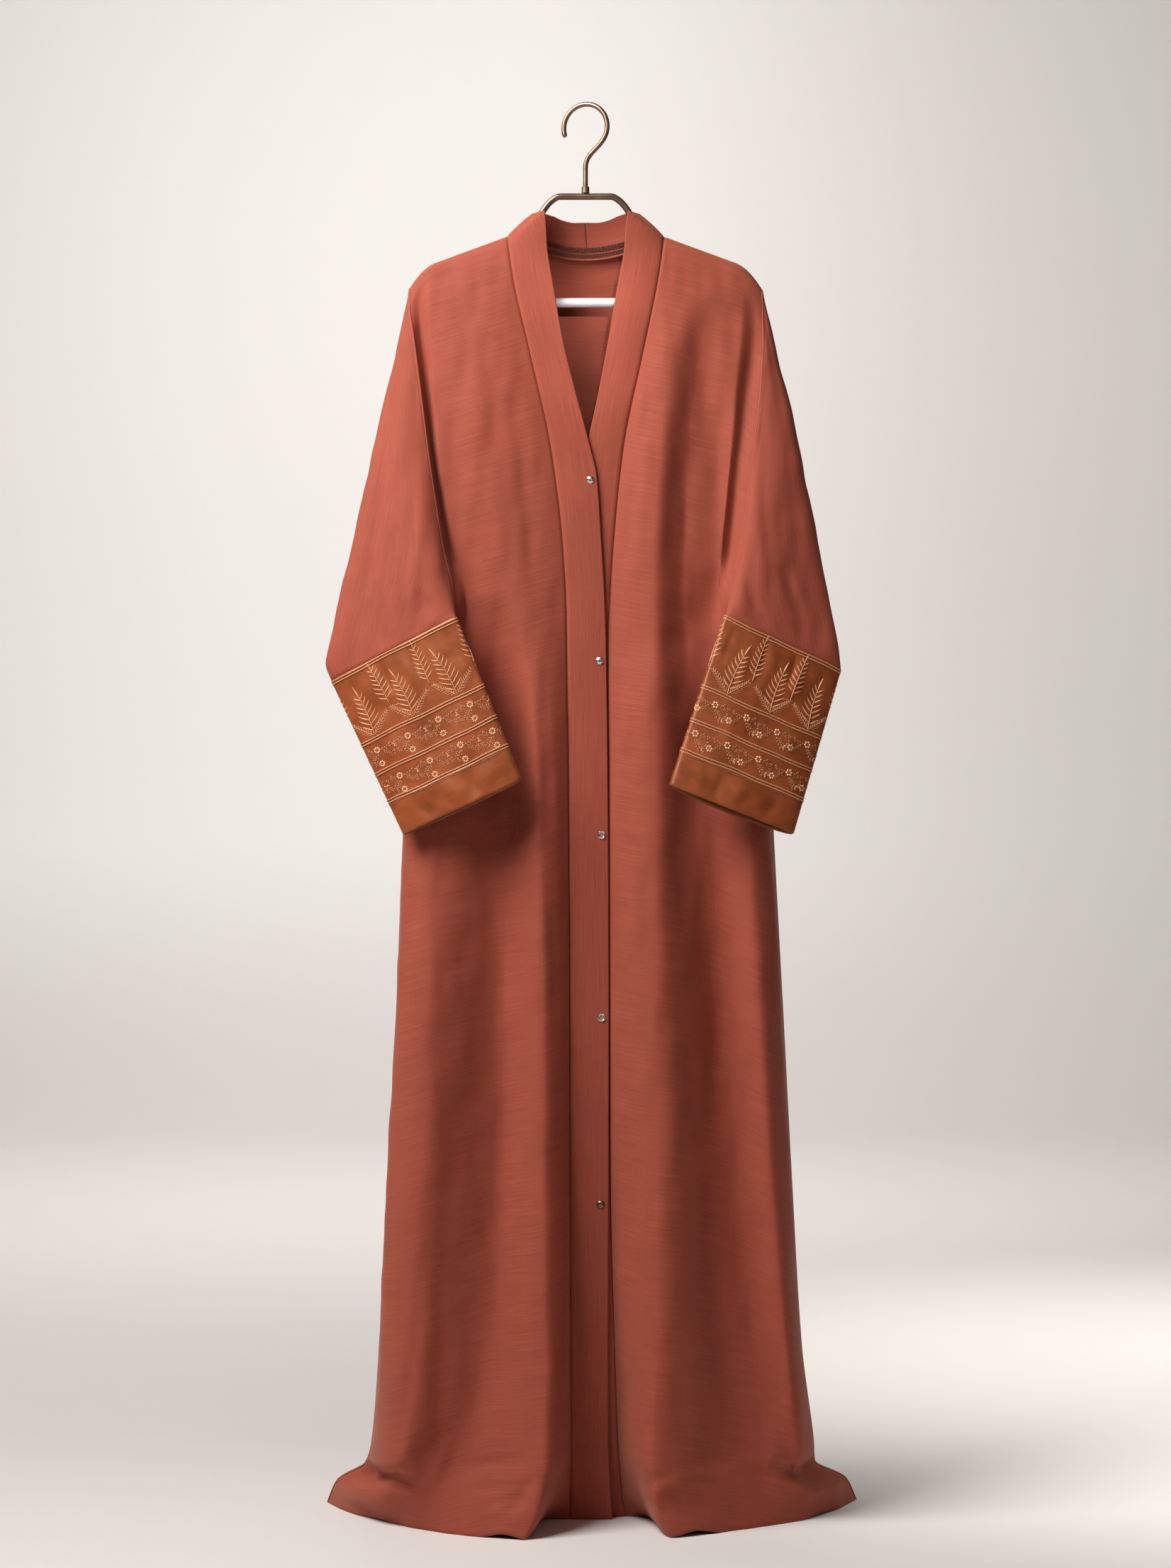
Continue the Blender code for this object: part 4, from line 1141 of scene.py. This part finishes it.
def object_noise(material, scale, detail):
    vector = add_node(material, "TexCoord").outputs["Object"]
    return add_node(material, "TexNoise", Vector=vector, Scale=scale, Detail=detail).outputs["Fac"]


def colour_ramp(material, source, stops):
    ramp = add_node(material, "ValToRGB", Fac=source)
    elements = ramp.color_ramp.elements
    while len(elements) < len(stops):
        elements.new(0.5)
    for element, (place, colour) in zip(elements, stops):
        element.position = place
        element.color = (*colour, 1.0)
    return ramp.outputs["Color"]


def bump_of(material, height, strength, distance):
    bump = add_node(material, "Bump", Height=height, Strength=strength, Distance=distance)
    return bump.outputs["Normal"]


def new_material(name, looks, *row):
    """A material whose shader has what looks(material, *row) says on its inputs."""
    material = bpy.data.materials.new(name)
    material.use_nodes = True
    set_inputs(material, material.node_tree.nodes["Principled BSDF"], looks(material, *row))
    return material


def uneven(material, source, least, spread):
    return math_node(material, "ADD", weighted(material, (source, spread)), least)


def woven_looks(material, weave):
    """Cloth with threads along its grain, as one of the weaves above says."""
    sources = [stretched_noise(material, *row[:3]) for row in weave["noise"]]
    tone_weights = [row[3] for row in weave["noise"]]
    relief_weights = [row[4] for row in weave["noise"]]
    tone = weighted(material, *zip(sources, tone_weights))
    height = weighted(material, *zip(sources, relief_weights))
    looks = dict(weave["shader"])
    looks["Base Color"] = colour_ramp(material, tone, weave["tones"])
    looks["Normal"] = bump_of(material, height, *weave["relief"])
    if "uneven" in weave:
        looks["Roughness"] = uneven(material, sources[-1], *weave["uneven"])
    return looks


def plain_looks(material, dark, light, roughness, metallic, scale, bump):
    """Thread, metal and plastic: an uneven tone, roughness and fine relief."""
    grain = object_noise(material, scale, 4.0)
    least = roughness - ROUGHNESS_SPREAD / 2
    return {
        "Base Color": colour_ramp(material, grain, ((0.3, dark), (0.7, light))),
        "Normal": bump_of(material, grain, bump, FINE_RELIEF),
        "Roughness": uneven(material, grain, least, ROUGHNESS_SPREAD),
        "Metallic": metallic,
    }


def paper_painted_shade_looks(material):
    """Pale paper with painted shade: a little darker on the floor and towards the right."""
    place = add_node(material, "TexCoord").outputs["Object"]
    split = add_node(material, "SeparateXYZ", Vector=place)
    shade_shares = []
    for axis, low, high in PAPER_SHADE_SHARES:
        ease = add_node(material, "MapRange", Value=split.outputs[axis])
        ease.interpolation_type = "SMOOTHSTEP"
        set_inputs(material, ease, {"From Min": low, "From Max": high})
        shade_shares.append(ease.outputs["Result"])
    # Painted shade: the right side loses part of the paler share, and the floor is darker
    right = math_node(material, "SUBTRACT", 1.0, weighted(material, (shade_shares[1], PAPER_RIGHT_SHADE)))
    share = math_node(material, "MULTIPLY", shade_shares[0], right)
    grain = object_noise(material, 3.0, 4.0)
    tone = weighted(material, (share, 1.0), (grain, PAPER_GRAIN))
    return {"Base Color": colour_ramp(material, tone, PAPER_SHADE_AND_GRAIN_TONES), "Roughness": 0.9}


def make_materials():
    materials = {}
    for name in CREPE_PIECES:
        materials[name] = new_material(f"crepe_{name}", woven_looks, CREPE)
    materials["satin"] = new_material("cuff_satin", woven_looks, SATIN)
    for name, (full_name, *row) in PLAIN_LOOKS.items():
        materials[name] = new_material(full_name, plain_looks, *row)
    return materials


def arch_lift(name, grid):
    """How far the hem's lowest rows rise where it lifts off the floor."""
    lift = np.zeros(grid.shape[:2])
    for x, half_width, height in HEM_ARCHES[name]:
        lift += height * near(grid[..., 0] - x, half_width)
    return lift * smooth_step(-grid[..., 2], HEM - ARCH_RISE, HEM)


def ease_hollow(grid):
    """Round the bottom of a front's long hollow, from the chest to the hip."""
    fwd = grid[..., 1].copy()
    for _ in range(EASING_PASSES):
        fwd[:, 1:-1] = (fwd[:, :-2] + 2 * fwd[:, 1:-1] + fwd[:, 2:]) / 4
    level = -grid[..., 2]
    column = np.arange(grid.shape[1])
    start, full, fading, end = EASED_COLUMNS
    share = smooth_step(level, *EASED_TOP) * (1 - smooth_step(level, *EASED_FOOT))
    share = share * smooth_step(column, start, full) * (1 - smooth_step(column, fading, end))
    grid[..., 1] += (fwd - grid[..., 1]) * share


def add_cloth(name, grid, relief, thickness, closed, grain, materials, facing=-1):
    """A cloth shell on its CAD piece's form, pushed out by the relief."""
    bent = grid + grid_normals(grid, closed, facing) * relief[..., None]
    if name in HEM_ARCHES:
        bent[..., 2] += arch_lift(name, grid)
        bent[..., 2] = np.maximum(bent[..., 2], -HEM)
    normals = grid_normals(bent, closed, facing)
    thing = shell(f"cloth_{name}", bent, normals, thickness, closed, grain, materials[name])
    declare(thing, name)
    return thing, bent, normals


def make_body(materials):
    """Front panels and back: folds from the tables, then creases, ripples and the hem."""
    levels = body_levels()
    grids = {}
    for side in (RIGHT, LEFT):
        grid = np.array([front_section(side, level) for level in levels])
        ease_hollow(grid)
        grids[f"front_{WORDS[side]}"] = grid
    grids["back"] = np.array([back_section(level) for level in levels])
    pieces = {}
    for name, grid in grids.items():
        first, last, top, seed, dip = PANEL_EDGES[name]
        across, down = grid_lengths(grid, False)
        to_last = across[:, -1:] - across
        calm = (1 - near(across, first)) * (1 - near(to_last, last)) * smooth_step(down, 0, top)
        relief = (crease_relief(grid, CREASES[name]) + ripple_relief(grid, seed)) * calm
        relief -= dip * (near(across, SEAM_REACH) + near(to_last, SEAM_REACH))
        if name == "back":
            middle = across.shape[1] // 2
            grain = np.stack([across - across[:, middle : middle + 1], down], axis=-1)
        else:
            sag = GRAIN_SAG * np.maximum(np.abs(grid[..., 0]) - GRAIN_SAG_FROM, 0)
            sag = sag * smooth_step(-grid[..., 2], *GRAIN_SAG_LEVELS)
            grain = np.stack([across, down - sag], axis=-1)
        facing = 1 if name == "back" else -1
        thing = add_cloth(name, grid, relief, CLOTH, False, grain, materials, facing)[0]
        pieces[name] = thing
    return pieces


def sew(name, path, radius, sides, material):
    """A thread or seam edge along a path on the cloth."""
    declare(swept_tube(name, path, radius, sides, material))


def make_sleeves(materials):
    pieces = {}
    for side in (RIGHT, LEFT):
        name = f"sleeve_{WORDS[side]}"
        grid = sleeve_grid(side)
        round_ring, along = grid_lengths(grid, True)
        grain = np.stack([along, round_ring], axis=-1)
        from_top = along[:, :-1]
        to_end = along[-1:, :-1] - from_top
        relief = crease_relief(grid, CREASES[name]) + ripple_relief(grid, SLEEVE_SEEDS[side])
        edges = ((from_top, *SLEEVE_TOP), (to_end, *SLEEVE_END))
        relief *= math.prod(smooth_step(distance, 0, calm) for distance, calm, _, _ in edges)
        relief -= sum(dip * near(distance, reach) for distance, _, dip, reach in edges)
        thing, bent, normals = add_cloth(name, grid, relief, CLOTH, True, grain, materials)
        pieces[name] = thing
        # The dark line in the groove among these is painted shade
        for line, (share, lift, radius, finish) in ARMHOLE_LINES.items():
            path = bent[0] * (1 - share) + bent[1] * share + normals[0] * lift
            path = path[2 : SLEEVE_RING + 1]
            sew(f"{line}_{WORDS[side]}", path, radius, 8, materials[finish])
    return pieces


def make_bands(materials):
    pieces = {}
    high, first, second = BAND_WAVES
    for side in (RIGHT, LEFT):
        name = f"band_{WORDS[side]}"
        grid = band_grid(side)
        across, along = grid_lengths(grid, False)
        inside = np.sin(math.pi * np.clip(across / across[:, -1:], 0, 1))
        relief = inside * BAND_SWELL - BAND_DIP * near(across, BAND_DIP_REACH)
        turn = BAND_TURN * side
        relief += high * inside * np.sin(along / first + turn) * np.sin(along / second)
        grain = np.stack([along, across], axis=-1)
        pieces[name] = add_cloth(name, grid, relief, BAND, False, grain, materials)[0]
    return pieces


class CuffSkin:
    """The cuff's outer face, addressed by distance round it and along it."""

    def __init__(self, side):
        upper = np.linspace(0, CUFF_HEM_FROM, CUFF_STEPS + 1)
        lower = np.linspace(CUFF_HEM_FROM, 1, CUFF_HEM_STEPS + 1)[1:]
        self.rows = np.concatenate([upper, lower])
        grid = np.array([cuff_ring(side, share, CUFF_RING) for share in self.rows])
        self.around, self.along = grid_lengths(grid, True)
        self.share = (self.around / self.around[:, -1:]).mean(axis=0)
        share = self.share[:-1]
        around = share[None, :] * CUFF_ROUND
        along = self.rows[:, None] * CUFF_LENGTH
        relief = np.zeros(grid.shape[:2])
        for s_a, t_a, s_b, t_b, half_width, depth in PUCKERS:
            inside, aside = beside_line(around, along, (s_a, t_a), (s_b, t_b))
            relief += depth * np.sin(math.pi * inside) * near(aside, half_width)
        fold = np.minimum(np.minimum(share, 1 - share), np.abs(share - 0.5)) * CUFF_ROUND
        relief *= 1 - near(fold, CUFF_FOLD_CALM)[None, :]
        self.grid = grid + grid_normals(grid, True) * relief[..., None]
        self.normals = grid_normals(self.grid, True)

    def place(self, around, along, height):
        """Points at those distances, that high above the satin's outer face."""
        rows, columns = self.grid.shape[:2]
        share = np.mod(np.asarray(around, float) / CUFF_ROUND, 1.0)
        column = np.interp(share, self.share, np.arange(columns + 1))
        row = np.interp(np.asarray(along, float) / CUFF_LENGTH, self.rows, np.arange(rows))
        r0 = np.minimum(row.astype(int), rows - 2)
        c0 = np.minimum(column.astype(int), columns - 1)
        fr = (row - r0)[:, None]
        fc = (column - c0)[:, None]
        c1 = (c0 + 1) % columns
        result = []
        for field in (self.grid, self.normals):
            top = field[r0, c0] * (1 - fc) + field[r0, c1] * fc
            low = field[r0 + 1, c0] * (1 - fc) + field[r0 + 1, c1] * fc
            result.append(top * (1 - fr) + low * fr)
        lift = np.asarray(height, float)[:, None] + CUFF / 2
        return result[0] + result[1] * lift


def make_cuffs(materials):
    pieces = {}
    skins = {}
    for side in (RIGHT, LEFT):
        skin = skins[side] = CuffSkin(side)
        grain = np.stack([skin.around, skin.along], axis=-1)
        parts = (
            (f"cuff_{WORDS[side]}", slice(0, CUFF_STEPS + 1), CUFF),
            (f"cuff_hem_{WORDS[side]}", slice(CUFF_STEPS, None), CUFF_HEM),
        )
        for name, cut, thickness in parts:
            shape = (skin.grid[cut], skin.normals[cut], thickness, True, grain[cut])
            pieces[name] = shell(f"satin_{name}", *shape, materials["satin"])
            declare(pieces[name], name)
    return pieces, skins


class Stitches:
    """A joined mesh of thread, drawn in a cuff's own plane: round, along and height."""

    def __init__(self):
        self.points = []
        self.faces = []

    def add(self, points, faces):
        base = sum(len(block) for block in self.points)
        self.points.append(np.asarray(points, float))
        self.faces.extend([tuple(base + index for index in face) for face in faces])

    def thread(self, path, radius, height, sides=5):
        """A round thread along a path of (round, along) rows."""
        path = np.asarray(path, float)
        radius = np.broadcast_to(np.asarray(radius, float), (len(path),))
        heading = np.gradient(path, axis=0)
        heading /= np.maximum(np.linalg.norm(heading, axis=1, keepdims=True), TINY)
        aside = np.stack([-heading[:, 1], heading[:, 0]], axis=1)
        rings = []
        for side in range(sides):
            angle = 2 * math.pi * side / sides
            flat = path + aside * (radius * math.cos(angle))[:, None]
            rings.append(np.column_stack([flat, height + radius * math.sin(angle)]))
        points = np.stack(rings, axis=1).reshape(-1, 3)
        self.add(points, ring_faces(len(path), sides))

    def pad(self, root, angle, length, width, bend, height=0.9, rows=6, columns=5):
        """A raised leaf of satin stitch from its root, curving by bend over its length."""
        points = []
        place = np.array(root, float)
        for row in range(rows):
            share = row / (rows - 1)
            turn = angle + bend * share
            heading = unit(turn)
            if row:
                place = place + heading * length / (rows - 1)
            aside = np.array([-heading[1], heading[0]])
            swell = math.sin(math.pi * (PAD_START + PAD_SPAN * share) ** PAD_POWER)
            for column in range(columns):
                across = 2 * column / (columns - 1) - 1
                flat = place + aside * across * width / 2 * swell
                lift = height * swell * math.sqrt(max(1 - across * across, 0.0))
                points.append((flat[0], flat[1], lift - PAD_SINK))
        faces = []
        for row in range(rows - 1):
            for column in range(columns - 1):
                low = row * columns + column
                faces.append((low, low + 1, low + columns + 1, low + columns))
        self.add(points, faces)

    def build(self, name, skin, material):
        points = np.concatenate(self.points)
        placed = skin.place(points[:, 0], points[:, 1], points[:, 2]) * MM
        declare(add_mesh(name, placed, self.faces, material, outward=False))


def wavy_line(along, seed):
    """A line round the cuff that wanders a little, as sewn ones do."""
    around = np.arange(0, CUFF_ROUND + CORD_STITCH / STITCH_STEPS, CORD_STITCH / STITCH_STEPS)
    phase = 2 * math.pi * around / CUFF_ROUND
    wander = sum(far * np.sin(turns * phase + shift * seed) for turns, far, shift in LINE_WANDER)
    return np.column_stack([around, along + wander])


def sew_cords(light, dark, seed):
    """Pairs of beaded cord round the cuff, with a dark stitch in every gap between them."""
    for number, along in enumerate(CORD_LINES):
        line = wavy_line(along, seed + number)
        least, swell = CORD_BEADS
        beads = least + swell * np.abs(np.sin(math.pi * line[:, 0] / CORD_STITCH))
        for shift in (0.0, CORD_APART):
            light.thread(line + np.array([0, shift]), CORD_RADIUS * beads, CORD_LIFT)
        for start in range(0, len(line) - 3, 2):
            place = line[start] + np.array([0, CORD_APART / 2]) + np.array(GAP_STITCH_START)
            dark.pad(place, *GAP_STITCH, height=0.5, rows=3, columns=3)


def curved_path(root, angle, length, bend, steps):
    """Points and headings of a stem that turns evenly by bend over its length."""
    points = [np.array(root, float)]
    turns = [angle]
    for step in range(1, steps + 1):
        turns.append(angle + bend * step / steps)
        points.append(points[-1] + unit(turns[-1]) * length / steps)
    return np.array(points), turns


def spot_on(path, place):
    """The point at a place counted in steps of a path, and the step it lies in."""
    low = min(int(place), len(path) - 2)
    return path[low] + (path[low + 1] - path[low]) * (place - low), low


def frond(light, root, angle, width, row):
    """A curved stem with slim arched leaflets, well apart, and one at its tip."""
    length, bend, pairs, leaf, first = row
    path, turns = curved_path(root, angle, length, bend, FROND_STEPS)
    light.thread(path, np.linspace(*FROND_STEM, len(path)), STEM_LIFT, sides=4)
    for pair in range(pairs):
        share = first + (LAST_LEAFLET - first) * pair / (pairs - 1)
        size = leaf * (1.08 - LEAF_TAPER * pair / (pairs - 1)) * (0.8 if pair == 0 else 1.0)
        for hand in (-1, 1):
            spot, low = spot_on(path, (share + LEAFLET_STAGGER * hand) * FROND_STEPS)
            turn = turns[low] + hand * (1.22 - 0.22 * share)
            light.pad(spot, turn, size, width, -hand * LEAFLET_BEND, rows=7)
    light.pad(path[-1], turns[-1], leaf * 0.95, width, bend * 0.3, rows=7)


def fern(light, root, angle, length):
    """A straight stem with thin close leaflets, bare for a little at its foot."""
    path, _ = curved_path(root, angle, length, FERN_BEND, FERN_STEPS)
    light.thread(path, np.linspace(*FERN_STEM, len(path)), STEM_LIFT, sides=4)
    for pair in range(FERN_PAIRS):
        share = 0.12 + 0.86 * pair / (FERN_PAIRS - 1)
        spot, _ = spot_on(path, share * FERN_STEPS)
        size = FERN_LEAF * (1.0 - LEAF_TAPER * share) * (0.75 if pair == 0 else 1.0)
        for hand in (-1, 1):
            turn = angle + hand * FERN_OPENING
            light.pad(spot, turn, size, 1.0, -hand * 0.25, height=0.6, rows=4, columns=4)


def leaf_zone(light, side):
    """Tall fronds with a fern on each side, joined by higher fronds between them."""
    width = FROND_WIDTH[side]
    for number, (shift, lean) in enumerate(zip(MOTIF_SHIFTS, MOTIF_LEANS)):
        s = MOTIF_PITCH * (number + MOTIF_START) + shift
        base = (s, LEAF_BASE)
        frond(light, base, UP + lean, width, TALL_FROND)
        for turn, length in FERNS:
            fern(light, base, UP + turn, length)
        link = (s + MOTIF_PITCH * LINK_SHIFT, LEAF_BASE - LINK_RISE)
        frond(light, link, UP + 0.16 - lean, width * LINK_SLIM, LINK_FROND)
        for dot in range(5):
            share = (dot + 1) / 6
            place = (link[0] + 9.0 * share, link[1] + 1.5 + 3.0 * share)
            light.pad(place, UP + 1.9, 1.7, 1.1, 0.0, height=0.6, rows=3, columns=3)


def petals(light, middle, turns, radius, start, length, width, height):
    for turn in turns:
        root = middle + unit(turn) * radius * start
        light.pad(root, turn, radius * length, width, 0.0, height=height, rows=4, columns=4)


def ring_flower(light, dark, middle, radius, count):
    turns = [2 * math.pi * petal / count + 0.3 for petal in range(count)]
    petals(light, middle, turns, radius, 0.40, 0.62, radius * 4.4 / count, 1.1)
    foot = middle - np.array([radius * 0.30, 0])
    dark.pad(foot, 0.0, radius * 0.6, radius * 0.55, 0.0, height=0.55, rows=4, columns=4)


def bud(light, middle, angle, radius):
    """Four petals on an open arc."""
    turns = [angle + (petal - 1.5) * 0.72 for petal in range(4)]
    petals(light, middle, turns, radius, 0.45, 0.6, radius * 0.5, 0.9)


def twig(light, stem, root, angle, length, bend, leaves, size):
    """A thin bent stem with small single leaves on both sides."""
    path, turns = curved_path(root, angle, length, bend, TWIG_STEPS)
    stem.thread(path, 0.34, 0.28, sides=4)
    for leaf in range(leaves):
        place = min(int((leaf + 0.8) / leaves * TWIG_STEPS), TWIG_STEPS)
        hand = 1 if leaf % 2 else -1
        turn = turns[place] + hand * 0.85
        reach = size * (1.1 - 0.4 * leaf / leaves)
        spot = path[place] + unit(turn) * 0.6
        light.pad(spot, turn, reach, 1.15, -hand * 0.2, height=0.7, rows=4, columns=3)


def flower_rows(light, dark, bright, side):
    for row, top in enumerate(FLOWER_ROWS):
        for number in range(8):
            s = FLOWER_PITCH * (number + 0.42 + 0.30 * row)
            high = np.array([s, top + FLOWER_DROP + 0.8 * math.sin(2.0 * number + row)])
            low = high + np.array(LOWER_FLOWER[side])
            for place, radius in zip((high, low), FLOWER_RADII):
                ring_flower(bright, dark, place, radius, PETALS[side])
            bud(bright, high + np.array(BUD[side]), -0.4 + 0.3 * number, BUD_RADIUS)
            for around, down, *leaf_row in TWIGS:
                twig(light, dark, high + np.array([around, down]), *leaf_row)


def picot_edge(dark, seed):
    line = wavy_line(CORD_LINES[-1] + CORD_APART + PICOT_GAP, seed)
    around = np.arange(0, CUFF_ROUND, PICOT_PITCH / 4)
    waves = PICOT_HEIGHT * np.sin(2 * math.pi * around / PICOT_PITCH)
    along = np.interp(around, line[:, 0], line[:, 1]) + waves
    dark.thread(np.column_stack([around, along]), 0.5, 0.2, sides=4)


def embroider(skins, materials):
    for side, skin in skins.items():
        light, dark, bright = Stitches(), Stitches(), Stitches()
        sew_cords(light, dark, side + 3)
        leaf_zone(light, side)
        flower_rows(light, dark, bright, side)
        picot_edge(dark, side + 5)
        word = WORDS[side]
        light.build(f"embroidery_{word}", skin, materials["thread"])
        dark.build(f"embroidery_shade_{word}", skin, materials["thread_dark"])
        bright.build(f"embroidery_flowers_{word}", skin, materials["thread_bright"])


def inside_neck(x, rise, lift):
    """A point on the neck band's inner face, at a height above its seam."""
    seam = neck_seam(x)
    edge_out, behind, down = table_at(BACK_NECK_EDGE, 1 - abs(x) / NECK_POINT)
    edge = np.array([math.copysign(edge_out, x), behind, -down])
    along = (edge - seam) / np.linalg.norm(edge - seam)
    return seam + along * rise + np.array([0.0, -(BAND / 2 + lift), 0.0])


def sew_neck(materials):
    """Two rows of overlock loops, the needle lines under them and the centre back seam."""
    finish = materials["overlock"]
    quarters = 4 * int(2 * OVERLOCK_HALF / OVERLOCK_PITCH)
    for number, rise in enumerate(OVERLOCK_ROWS):
        loops = []
        for turn in range(quarters + 1):
            x = -OVERLOCK_HALF + OVERLOCK_PITCH * turn / 4
            swing = math.sin(math.pi / 2 * turn)
            uneven = 0.5 * math.sin(2.3 * turn) + 0.4 * math.sin(0.31 * turn + number)
            height = rise + swing * OVERLOCK_REACH + uneven
            loops.append(inside_neck(x, height, 0.5 + 0.3 * abs(swing)))
        name = f"overlock_{number + 1}"
        sew(name, loops, LOOP_RADIUS, 5, finish)
        for edge, reach in enumerate((-OVERLOCK_REACH, OVERLOCK_REACH)):
            xs = np.linspace(-OVERLOCK_HALF, OVERLOCK_HALF, LINE_POINTS)
            line = [inside_neck(x, rise + reach, 0.45) for x in xs]
            sew(f"{name}_line_{edge + 1}", line, LINE_RADIUS, 5, finish)
    rises = np.linspace(*CENTRE_STITCH)
    seam = [inside_neck(0.9 * math.sin(rise / 9.0), rise, 0.05) for rise in rises]
    sew("centre_back_stitch", seam, CENTRE_RADIUS, 6, finish)


def hook_arc_point(angle):
    centre = HOOK_WIRE - HOOK_RADIUS
    return np.array([HOOK_RADIUS * math.cos(angle), centre + HOOK_RADIUS * math.sin(angle)])


def hook_points():
    start = hook_arc_point(HOOK_FIRST)
    heading = np.array([-math.sin(HOOK_FIRST), math.cos(HOOK_FIRST)])
    low = np.array([0.0, STEM_TOP])
    controls = (low, low + np.array([0, STEM_PULL]), start - heading * STEM_PULL, start)
    plan = [np.array([0.0, BOSS_TOP + 0.3]), np.array([0.0, (BOSS_TOP + STEM_TOP) / 2])]
    for t in np.linspace(0, 1, 17):
        weights = ((1 - t) ** 3, 3 * t * (1 - t) ** 2, 3 * t * t * (1 - t), t**3)
        plan.append(sum(weight * control for weight, control in zip(weights, controls)))
    for angle in np.linspace(HOOK_FIRST, HOOK_LAST, HOOK_POINTS)[1:]:
        plan.append(hook_arc_point(angle))
    turn, side = math.cos(HOOK_TURN), -math.sin(HOOK_TURN)
    return np.array([(wide * turn, wide * side, high) for wide, high in plan])


def make_hanger(materials):
    bronze = materials["bronze"]
    hook = swept_tube("wire_hook", hook_points(), HOOK_WIRE, 20, bronze, True)
    declare(hook, "hanger_hook")
    right = [(x, 0.0, z) for x, z in FRAME_CORNERS]
    left = [(-x, 0.0, z) for x, z in FRAME_CORNERS[:0:-1]]
    corners = np.array(left + right)
    chord = np.concatenate([[0], np.cumsum(np.linalg.norm(np.diff(corners, axis=0), axis=1))])
    path = monotone_curve(chord, corners, np.linspace(0, chord[-1], FRAME_POINTS))
    declare(swept_tube("tube_frame", path, FRAME_TUBE, 20, bronze), "hanger_frame")
    base = FRAME_CROWN + FRAME_TUBE
    profile = (
        (BOSS_RADIUS - 0.6, base),
        (BOSS_RADIUS, base + 0.6),
        (BOSS_RADIUS, BOSS_TOP - 0.8),
        (BOSS_RADIUS - 0.8, BOSS_TOP),
    )
    declare(turned("stem_boss", profile, 32, bronze), "hanger_boss")
    path = [(x, 0, BAR_LEVEL) for x in np.linspace(-BAR_HALF, BAR_HALF, BAR_POINTS)]
    bar = swept_tube("white_sleeve", path, BAR_RADIUS, 28, materials["white"])
    declare(bar, "hanger_bar")


def add_snap_part(name, place, rows, sides, material, sharp, node=None):
    """A turned part of a snap, facing the viewer."""
    thing = turned(name, rows, sides, material, sharp)
    thing.rotation_euler = (math.pi / 2, 0, 0)
    thing.location = place
    declare(thing, node)


def make_snaps(materials):
    """Snaps pressed into the band: two faceted domes, two rings and a dark dome."""
    for number, (profile, sides, sharp, metal) in SNAP_KINDS.items():
        low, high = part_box(f"snap_{number}")
        middle = (low + high) / 2
        place = (middle[0], high[1], middle[2])
        node = f"snap_{number}"
        add_snap_part(f"press_{node}", place, profile, sides, materials[metal], sharp, node)
        if profile is SNAP_RING:
            name = f"snap_core_{number}"
            add_snap_part(name, place, SNAP_CORE, 32, materials["snap_core"], 40)


def make_stage():
    """A pale floor that curves up into the backdrop."""
    foot = WALL_Y - WALL_BEND
    profile = [(FLOOR_FRONT, 0.0), (foot, 0.0)]
    for step in range(1, WALL_STEPS + 1):
        angle = math.pi / 2 * step / WALL_STEPS
        profile.append((foot + WALL_BEND * math.sin(angle), WALL_BEND * (1 - math.cos(angle))))
    profile.append((WALL_Y, WALL_HEIGHT))
    half = WALL_WIDTH / 2
    points = np.array([(x, y, z - HEM * MM) for y, z in profile for x in (-half, half)])
    faces = [(2 * row, 2 * row + 1, 2 * row + 3, 2 * row + 2) for row in range(len(profile) - 1)]
    paper = new_material("backdrop_paper_painted_shade", paper_painted_shade_looks)
    add_mesh("backdrop", points, faces, paper, outward=False)


def add_light(name, kind, place, target, size, power, colour):
    light = bpy.data.lights.new(name, kind)
    light.energy = power
    light.color = colour
    if kind == "AREA":
        light.shape = "RECTANGLE"
        light.size = light.size_y = size
    else:
        light.spot_size = math.radians(size)
        light.spot_blend = 1.0
        light.shadow_soft_size = SPOT_SOFTNESS
    thing = bpy.data.objects.new(name, light)
    thing.location = place
    heading = np.array(target) - np.array(place)
    yaw = math.atan2(heading[1], heading[0]) - math.pi / 2
    pitch = math.atan2(heading[2], math.hypot(heading[0], heading[1]))
    thing.rotation_euler = (math.pi / 2 + pitch, 0.0, yaw)
    bpy.context.scene.collection.objects.link(thing)


def make_light():
    for row in LIGHTS:
        add_light(*row)
    world = bpy.data.worlds.new("studio")
    world.use_nodes = True
    seen = add_node(world, "LightPath").outputs["Is Camera Ray"]
    strength = math_node(world, "MULTIPLY_ADD", seen, SKY_SEEN - SKY_LIGHT, SKY_LIGHT)
    background = world.node_tree.nodes["Background"]
    set_inputs(world, background, {"Color": SKY_COLOUR, "Strength": strength})
    bpy.context.scene.world = world
    bpy.context.scene.view_settings.view_transform = "Standard"


def make_camera():
    data = bpy.data.cameras.new("photo_view")
    data.sensor_width = SENSOR
    data.lens = FOCAL_PIXELS * SENSOR / PHOTO_HEIGHT
    thing = bpy.data.objects.new("photo_view", data)
    thing.location = (0.0, -CAMERA_DISTANCE, CAMERA_HEIGHT)
    thing.rotation_euler = (math.pi / 2, 0.0, 0.0)
    bpy.context.scene.collection.objects.link(thing)
    bpy.context.scene.camera = thing


def main():
    materials = make_materials()
    pieces = make_body(materials)
    pieces.update(make_sleeves(materials))
    pieces.update(make_bands(materials))
    satin, skins = make_cuffs(materials)
    pieces.update(satin)
    embroider(skins, materials)
    sew_neck(materials)
    make_hanger(materials)
    make_snaps(materials)
    make_stage()
    make_light()
    make_camera()


main()
